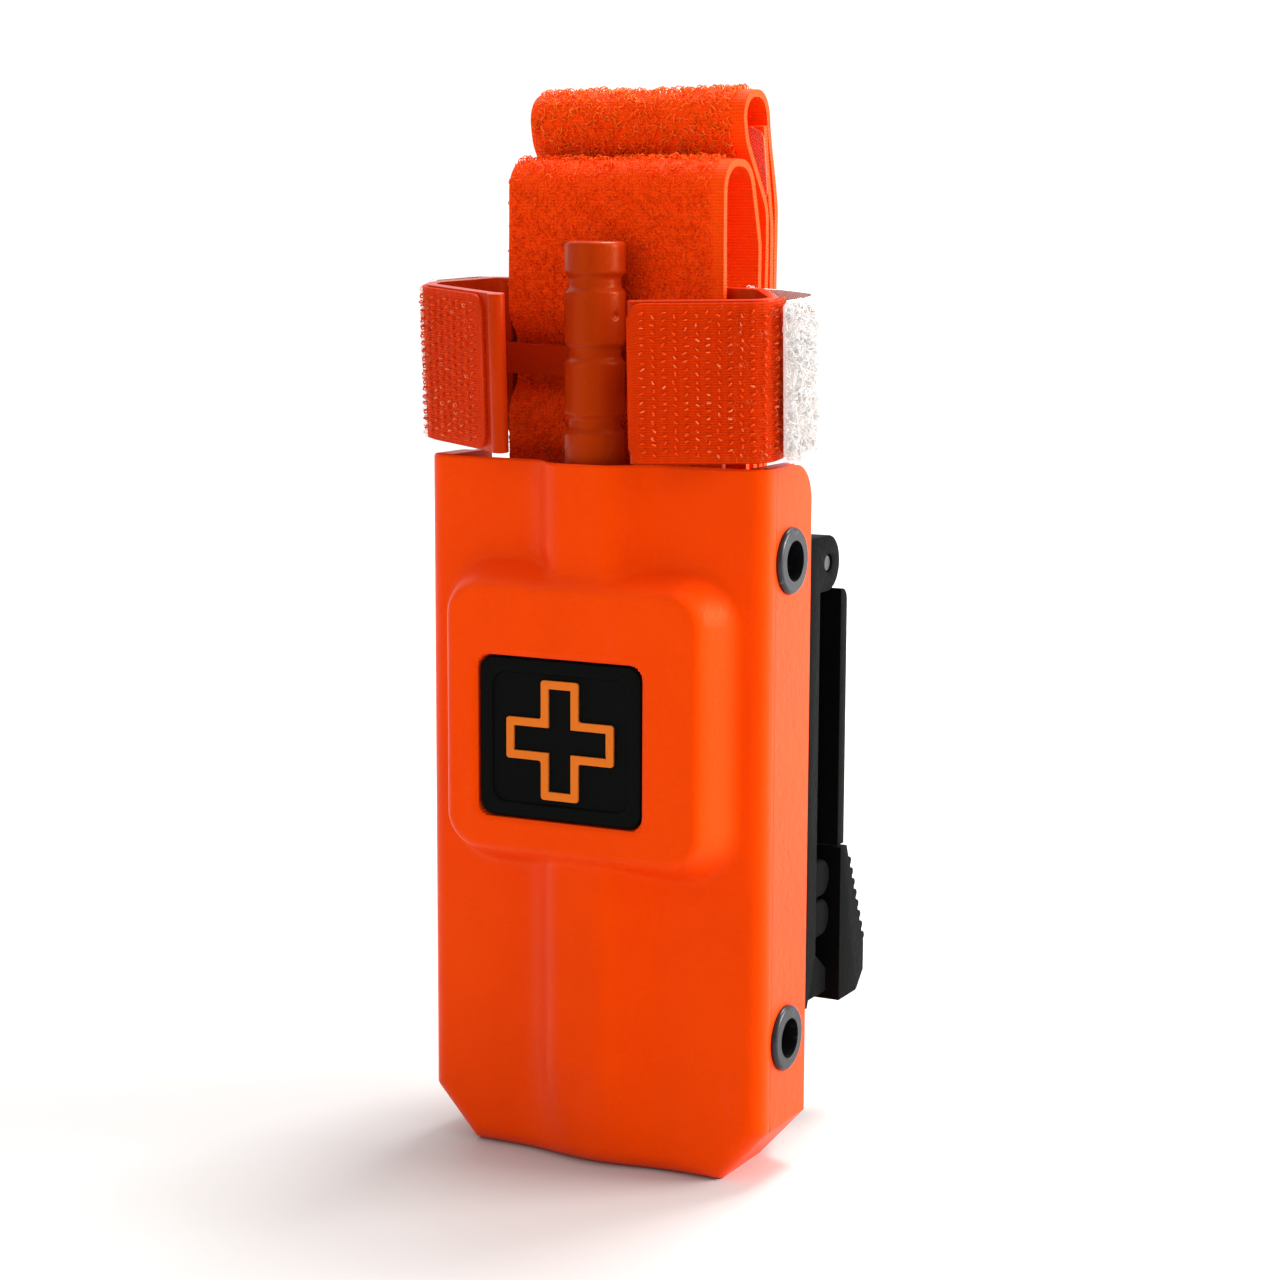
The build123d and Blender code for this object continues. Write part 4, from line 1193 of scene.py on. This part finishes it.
@dataclass
class ClipTapes:
    """Hook tapes bonded to the two arms of the windlass clip, and the pale strap behind."""

    middle_z: float = 127.6
    lean: float = 5.4
    roll: float = 1.5
    heading: tuple[float, float] = (-20.3, -8.8)
    reach: tuple[float, float] = (20.0, 21.7)
    bend: tuple[float, float] = (31.2, 0.6)
    back: tuple[float, float] = (23.5, 11.5)
    clip_thick: float = 1.7
    tape_w: float = 24.2
    start: tuple[float, float] = (1.9, -1.0)
    wrap: float = 3.2
    bend_r: float = 3.2
    strap_w: float = 24.4
    row_pitch: float = 1.62
    hook_pitch: float = 1.22
    hook_margin: float = 1.0
    hook_loop: Loop = Loop(0.27, 0.115, 10, 4, 0.48)
    broken_loop: Loop = Loop(0.60, 0.03, 7, 3, 0.3)
    broken_count: int = 1100
    nap_loop: Loop = Loop(0.75, 0.055, 8, 3, 0.5)
    nap_count: int = 5400

    def leaned(self, points: np.ndarray) -> np.ndarray:
        """Points of the clip's own level plan, leaned and rolled into place."""
        turn = (Matrix.Rotation(math.radians(self.lean), 3, "X")
                @ Matrix.Rotation(math.radians(self.roll), 3, "Y"))
        return points @ np.array(turn).T + [0.0, FRONT_Y, self.middle_z]

    def plan_ribbon(self, corners: Sequence[tuple[float, float, float]], width: float,
                    inward: float, step: float = 0.8) -> Ribbon:
        """A ribbon that follows a line in the clip's plan.

        Args:
            corners: (x, y, radius) in the plan.
            width: Width of the tape.
            inward: 1 or -1, which side of the line is outward.
            step: Distance between points.

        Returns:
            The ribbon, in place.
        """
        flat = rounded_line(corners, step)
        ahead = directions(flat)
        line = np.stack([flat[:, 0], flat[:, 1], np.zeros(len(flat))], 1)
        outer = np.stack([ahead[:, 1], -ahead[:, 0], np.zeros(len(flat))], 1) * inward
        place = self.leaned(line)
        return Ribbon(place, self.leaned(line + outer) - place,
                      (self.leaned(np.array([[0, 0, 1.0]])) - self.leaned(np.zeros((1, 3))))[0], width)

    def arm(self, side: int) -> Ribbon:
        """The outer face of one arm, where its hook tape lies."""
        pick = 0 if side < 0 else 1
        way = np.array(self.heading) / math.hypot(*self.heading) * self.reach[pick]
        edge = (self.bend[0] + way[0], self.bend[1] + way[1])
        plan = [np.array([side * x, y]) for x, y in (edge, self.bend, self.back)]
        first = plan[1] - plan[0]
        second = plan[2] - plan[1]
        n0 = np.array([side * first[1], -side * first[0]]) / np.linalg.norm(first)
        n1 = np.array([side * second[1], -side * second[0]]) / np.linalg.norm(second)
        off = self.clip_thick / 2
        k = off * 2 / ((n0 + n1) @ (n0 + n1))
        corner = plan[1] + (n0 + n1) * k
        begin = plan[0] + n0 * off + first / np.linalg.norm(first) * self.start[pick]
        run = self.wrap + self.bend_r
        end = corner + second / np.linalg.norm(second) * run
        corners = [(*begin, 0), (*corner, self.bend_r + off), (*end, 0)]
        return self.plan_ribbon(corners, self.tape_w, side)

    def build(self, tape: bpy.types.Material, hook: bpy.types.Material,
              strap: bpy.types.Material, fibre: bpy.types.Material) -> None:
        """Makes both hook tapes and the strap."""
        for side, word in ((-1, "left"), (1, "right")):
            self.hook_tape(side, word, tape, hook)
        self.strap(strap, fibre)

    def hook_tape(self, side: int, word: str, tape: bpy.types.Material,
                  hook: bpy.types.Material) -> bpy.types.Object:
        """One hook tape: woven ground with rows of looped hooks."""
        ribbon = self.arm(side)
        obj = strip(f"hook_tape_{word}", ribbon, 24, 0.55, 0.05, 2.2)
        keep(obj, "tourniquet", "hook_fabric", tape, f"hook_patch_{word}")
        draw = np.random.default_rng(70 + side)
        length = ribbon.length
        rows = int((length - 2.2) / self.row_pitch)
        field = self.tape_w - 2 * self.hook_margin
        each = int(field / self.hook_pitch)
        r, k = np.meshgrid(np.arange(rows), np.arange(each))
        r, k = r.ravel(), k.ravel()
        count = r.size
        along = 1.4 + (r + 0.5) * (length - 2.4) / rows + draw.normal(0, 0.09, count)
        shift = np.where(r % 2 == 0, 0.25, -0.25)
        across = -field / 2 + (k + 0.5 + shift) * field / each
        across = across + draw.normal(0, 0.08, count)
        size = draw.uniform(0.88, 1.12, (count, 3))
        lean = np.where(r % 2 == 0, 0.9, -0.9) + draw.normal(0, 0.35, count)
        loops = stand(f"hooks_{word}", self.hook_loop, ribbon, across, along / length,
                      np.full(count, 0.45), size, lean, draw.normal(0, 0.16, count))
        keep(loops, "tourniquet", "hook_fabric", hook)
        fluff = self.tape_fluff(ribbon, word, hook)
        return obj

    def tape_fluff(self, ribbon: Ribbon, word: str, hook: bpy.types.Material) -> bpy.types.Object:
        """Fine broken fibres standing off a hook tape, thickest round its bend."""
        draw = np.random.default_rng(len(word))
        count = self.broken_count
        across = draw.uniform(-0.49, 0.49, count) * self.tape_w
        share = 1 - 0.9 * draw.beta(0.9, 2.6, count)
        size = draw.uniform(0.4, 1.0, (count, 3)) * (0.4 + 0.8 * share[:, None])
        loops = stand(f"tape_fluff_{word}", self.broken_loop, ribbon, across, share, np.full(count, 0.5),
                      size, draw.uniform(0, 2 * math.pi, count), draw.normal(0, 0.6, count))
        return keep(loops, "tourniquet", "hook_fabric", hook)

    def strap(self, strap: bpy.types.Material, fibre: bpy.types.Material) -> bpy.types.Object:
        """The pale write-on strap, parked round the back of the clip, with its brushed face."""
        corners = [(-32.6, 6.2, 0), (-28.0, 13.4, 2.5), (26.5, 13.4, 6.0), (33.0, 10.6, 3.5),
                   (34.5, 6.0, 3.0), (32.3, 0.9, 0)]
        ribbon = self.plan_ribbon(corners, self.strap_w, -1)
        obj = strip("parked_strap", ribbon, 20, 0.6, -0.5, 1.0)
        keep(obj, "tourniquet", "strap_fabric", strap, "time_strap")
        draw = np.random.default_rng(41)
        count = self.nap_count
        across = draw.uniform(-0.5, 0.5, count) * (self.strap_w - 0.6)
        share = draw.uniform(0.003, 0.997, count)
        share[: count // 2] = 1 - 0.3 * draw.uniform(0.005, 1, count // 2)
        size = draw.uniform(0.6, 1.25, (count, 3))
        loops = stand("strap_nap", self.nap_loop, ribbon, across, share, np.zeros(count), size,
                      draw.uniform(0, 2 * math.pi, count), draw.normal(0, 0.65, count))
        keep(loops, "tourniquet", "strap_fabric", fibre)
        return obj


@dataclass
class HardParts:
    """Moulded parts whose edges are softly rounded: belt clip, windlass clip and patch."""

    belt_edge: float = 0.55
    leaf_edge: float = 1.1
    clip_edge: float = 0.3
    patch_edge: float = 0.3
    plus_edge: float = 0.2

    def build(self, black: bpy.types.Material, clip: bpy.types.Material,
              rubber: bpy.types.Material, line: bpy.types.Material) -> None:
        """Makes every softened part."""
        belt = (("clip_base", "belt_plate", "case"), ("belt_spacers", "belt_bars", "case"),
                ("clip_leaf", "belt_leaf_spring", "belt_leaf"),
                ("latch_wing_left", "squeeze_wing_left", "latch_left"),
                ("latch_wing_right", "squeeze_wing_right", "latch_right"))
        for node, name, body in belt:
            edge = self.leaf_edge if node == "clip_leaf" else self.belt_edge
            keep(softened(node, name, edge), body, "belt_clip_plastic", black, node)
        keep(softened("windlass_clip", "clip_frame", self.clip_edge), "tourniquet",
             "clip_plastic", clip, "windlass_clip")
        keep(softened("patch_base", "patch_body", self.patch_edge, 4), "case", "patch_rubber",
             rubber, "patch_base")
        keep(softened("patch_cross", "patch_plus", self.plus_edge), "case", "patch_line", line, "patch_cross")


@dataclass
class InnerBand:
    """The flat inner band where it passes through the rod."""

    width: float = 25.4
    thick: float = 1.0
    centre_x: float = -0.4
    rod_y: float = 1.3
    middle_z: float = 84.1
    bend: float = 7.6
    end: float = 11.0
    end_y: float = 6.2

    def build(self, web: bpy.types.Material) -> bpy.types.Object:
        """Makes the short stretch of band."""
        x = self.centre_x
        corners = [(x - self.end, self.end_y, 0), (x - self.bend, self.rod_y, 2.0),
                   (x + self.bend, self.rod_y, 2.0), (x + self.end, self.end_y, 0)]
        flat = rounded_line(corners, 0.6)
        ahead = directions(flat)
        count = len(flat)
        line = np.stack([flat[:, 0], flat[:, 1] + FRONT_Y, np.full(count, self.middle_z)], 1)
        outer = np.stack([ahead[:, 1], -ahead[:, 0], np.zeros(count)], 1)
        ribbon = Ribbon(line, outer, np.array([0.0, 0.0, 1.0]), self.width)
        obj = strip("inner_web", ribbon, 24, self.thick, -self.thick / 2)
        keep(obj, "tourniquet", "inner_fabric", web, "inner_band")
        return (obj, self.width * MM)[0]


# ---- studio ----------------------------------------------------------------------------


@dataclass
class Studio:
    """Floor, soft lights and the camera."""

    turn: float = 27.207
    rise: float = 8.575
    tip: float = 0.229
    lens: float = 78.75
    distance: float = 444.995
    aside: float = 7.5053
    above: float = 25.0791
    target: tuple[float, float, float] = (0.0, FRONT_Y, 60.0)

    def build(self) -> None:
        """Makes the whole studio."""
        self.floor()
        self.camera()
        self.lights()

    def floor(self) -> bpy.types.Object:
        """A wide flat sheet of pale paper."""
        def place(column: np.ndarray, row: np.ndarray) -> np.ndarray:
            """Points that lie further apart the further out they are."""
            far = np.array([-30000, -8000, -2000, -600, 0, 600, 2000, 8000, 30000])
            return np.stack([far[column], far[row], np.full(len(row), -0.02)], 1)

        obj = formed_grid("studio_paper", 8, 8, place)
        if obj.data.polygons[0].normal.z < 0:
            obj.data.flip_normals()
        smooth(obj)
        wear(obj, Floor().dress())
        return obj

    def camera(self) -> bpy.types.Object:
        """A camera at the known angle and distance."""
        c, s = math.cos(math.radians(self.turn)), math.sin(math.radians(self.turn))
        cp, sp = math.cos(math.radians(self.rise)), math.sin(math.radians(self.rise))
        right, ahead, up = Vector((c, s, 0)), Vector((-s * cp, c * cp, -sp)), Vector((-s * sp, c * sp, cp))
        tip = math.radians(self.tip)
        across = right * math.cos(tip) + up * math.sin(tip)
        over = up * math.cos(tip) - right * math.sin(tip)
        place = Vector(self.target) - ahead * self.distance + across * self.aside + over * self.above
        let_go()
        bpy.ops.object.camera_add()
        camera = bpy.context.active_object
        axes = Matrix((across, over, -ahead)).transposed().to_4x4()
        camera.matrix_world = Matrix.Translation(place * MM) @ axes
        camera.data.sensor_width = 36.0
        camera.data.lens = self.lens
        camera.data.clip_start, camera.data.clip_end = 0.01, 20.0
        camera.data.dof.use_dof = False
        bpy.context.scene.camera = camera
        return camera

    @staticmethod
    def lamp(name: str, place: tuple[float, float, float], size: float, power: float,
             colour: Colour = (1.0, 1.0, 1.0)) -> bpy.types.Object:
        """A soft square lamp that faces the object's middle."""
        let_go()
        bpy.ops.object.light_add(type="AREA", location=place)
        lamp = bpy.context.active_object
        lamp.name = name
        lamp.data.size = size
        lamp.data.energy = power
        lamp.data.color = colour
        aim = Vector((0.0, 0.0, 0.08)) - Vector(place)
        lamp.rotation_euler = aim.to_track_quat("-Z", "Y").to_euler()
        return lamp

    def lights(self) -> None:
        """Soft key from the right, a top light from behind, weak fill, bright far side."""
        self.lamp("key_lamp", (0.80, 0.38, 0.42), 0.5, 12.0, (1.0, 0.98, 0.95))
        self.lamp("top_lamp", (0.10, 0.42, 1.0), 0.35, 10.0)
        self.lamp("front_lamp", (-0.35, -0.9, 0.45), 0.6, 2.2)
        world = bpy.data.worlds.new("studio_air")
        bpy.context.scene.world = world
        air = Paint("studio_air", world, "Background")
        right, behind, over = air.parts(air.node("ShaderNodeTexCoord", out="Generated"))
        strength = (behind.span(-0.15, 0.45) * 0.85 + right.span(0.5, 0.95) * 0.8
                    + over.span(0.3, 0.85) * 0.7 + 0.2)
        air.finish(Color=(1.0, 1.0, 1.0), Strength=strength)
        bpy.context.scene.view_settings.view_transform = "Standard"


# ---- everything together -----------------------------------------------------------------


class Finishes:
    """Every material of the object, made once."""

    def __init__(self) -> None:
        """Makes the hard finishes, then the fabrics."""
        self.hard()
        self.fabrics()

    def hard(self) -> None:
        """Plastics, metals and rubber."""
        grey = (0.8, 0.85, 0.9)
        self.shell = MouldedPlastic("case_shell", (0.90, 0.058, 0.0008), (0.82, 0.048, 0.0006),
                                    specular=0.22).dress()
        self.clip = MouldedPlastic("clip_nylon", (0.50, 0.024, 0.001), (0.44, 0.019, 0.001),
                                   roughness=0.36).dress()
        self.rod = MouldedPlastic("rod_nylon", (0.40, 0.027, 0.001), (0.35, 0.021, 0.001),
                                  roughness=0.34).dress()
        self.black = MouldedPlastic("belt_clip_nylon", (0.0036, 0.0043, 0.004),
                                    (0.0024, 0.0028, 0.0028), roughness=0.5, grain=1900.0,
                                    grain_depth=0.00005, scuff=0.006, specular=0.018,
                                    gleam=grey).dress()
        self.hidden = MouldedPlastic("hidden_nylon", (0.03, 0.03, 0.03), (0.02, 0.02, 0.02),
                                     gleam=grey).dress()
        self.eyelet = BlackMetal("eyelet_black").dress()
        self.screw = BlackMetal("screw_black", wear=0.25).dress()
        self.steel = BlackMetal("pin_steel", (0.09, 0.09, 0.095), (0.25, 0.25, 0.25), wear=0.3,
                                roughness=0.38).dress()
        self.rubber = Rubber("patch_rubber", (0.0018, 0.0024, 0.002), (0.008, 0.010, 0.008)).dress()
        self.line = Rubber("patch_line", (0.74, 0.165, 0.014), (0.80, 0.24, 0.06)).dress()

    def fabrics(self) -> None:
        """Tapes, piles, hooks and the strap."""
        self.touch = WovenTape("touch_tape", (0.03, 0.03, 0.03), (0.01, 0.01, 0.01),
                               Weave.KNIT).dress()
        self.web = WovenTape("band_weave", (1.0, 0.075, 0.003), (0.90, 0.045, 0.002), Weave.KNIT,
                             pitch=0.5, depth=0.00006, roughness=0.5).dress()
        self.pile = Filament("band_pile", (1.0, 0.092, 0.003), (0.94, 0.055, 0.001),
                             (1.0, 0.15, 0.03)).dress()
        # painted light: a lighter copy of the pile colour for the upper loop, standing in for the light on
        # its top
        self.pale = Filament("worn_pile", (1.0, 0.165, 0.010), (0.96, 0.085, 0.003),
                             (1.0, 0.27, 0.07)).dress()
        self.tape = WovenTape("hook_weave", (0.66, 0.034, 0.001), (0.50, 0.022, 0.001),
                              Weave.RIBBED, pitch=0.8, depth=0.0001).dress()
        self.hook = Filament("hook_filament", (0.94, 0.085, 0.008), (0.74, 0.048, 0.003),
                             (1.0, 0.36, 0.16)).dress()
        self.white = WovenTape("strap_weave", (0.93, 0.88, 0.86), (0.86, 0.80, 0.78),
                               Weave.PLAIN, pitch=0.5).dress()
        self.nap = Filament("strap_fibre", (0.95, 0.92, 0.90), (0.90, 0.84, 0.82),
                            (1.0, 1.0, 1.0)).dress()
        self.tab = WovenTape("tab_weave", (1.0, 0.17, 0.10), (0.95, 0.12, 0.07), Weave.PLAIN,
                             pitch=0.5).dress()
        self.inner = WovenTape("inner_weave", (0.80, 0.05, 0.003), (0.6, 0.03, 0.002),
                               Weave.PLAIN, pitch=0.8).dress()

    def dress_nodes(self) -> None:
        """Gives the carried-over nodes their finishes."""
        worn = {self.shell: ["back_shell"], self.hidden: ["base_plate", "buckle"],
                self.eyelet: ["eyelets", "eyelet_washers"], self.screw: ["clip_screws", "clip_nuts"],
                self.steel: ["clip_pin"], self.touch: ["patch_loop_pad", "patch_hook_pad"]}
        for material, names in worn.items():
            for name in names:
                wear(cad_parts[name], material)
                LOG.info("%s wears %s", name, material.name)


def main() -> None:
    """Builds the pieces in order."""
    logging.basicConfig(level=logging.INFO, format="%(message)s")
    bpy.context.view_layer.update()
    studio = Studio()
    studio.build()

    finishes = Finishes()
    finishes.dress_nodes()
    Case().build(finishes.shell)
    Windlass().build(finishes.rod)
    Band().build(finishes.web, finishes.pile, finishes.pale, finishes.tab)
    ClipTapes().build(finishes.tape, finishes.hook, finishes.white, finishes.nap)
    InnerBand().build(finishes.inner)
    HardParts().build(finishes.black, finishes.clip, finishes.rubber, finishes.line)


if __name__ == "__main__":
    main()
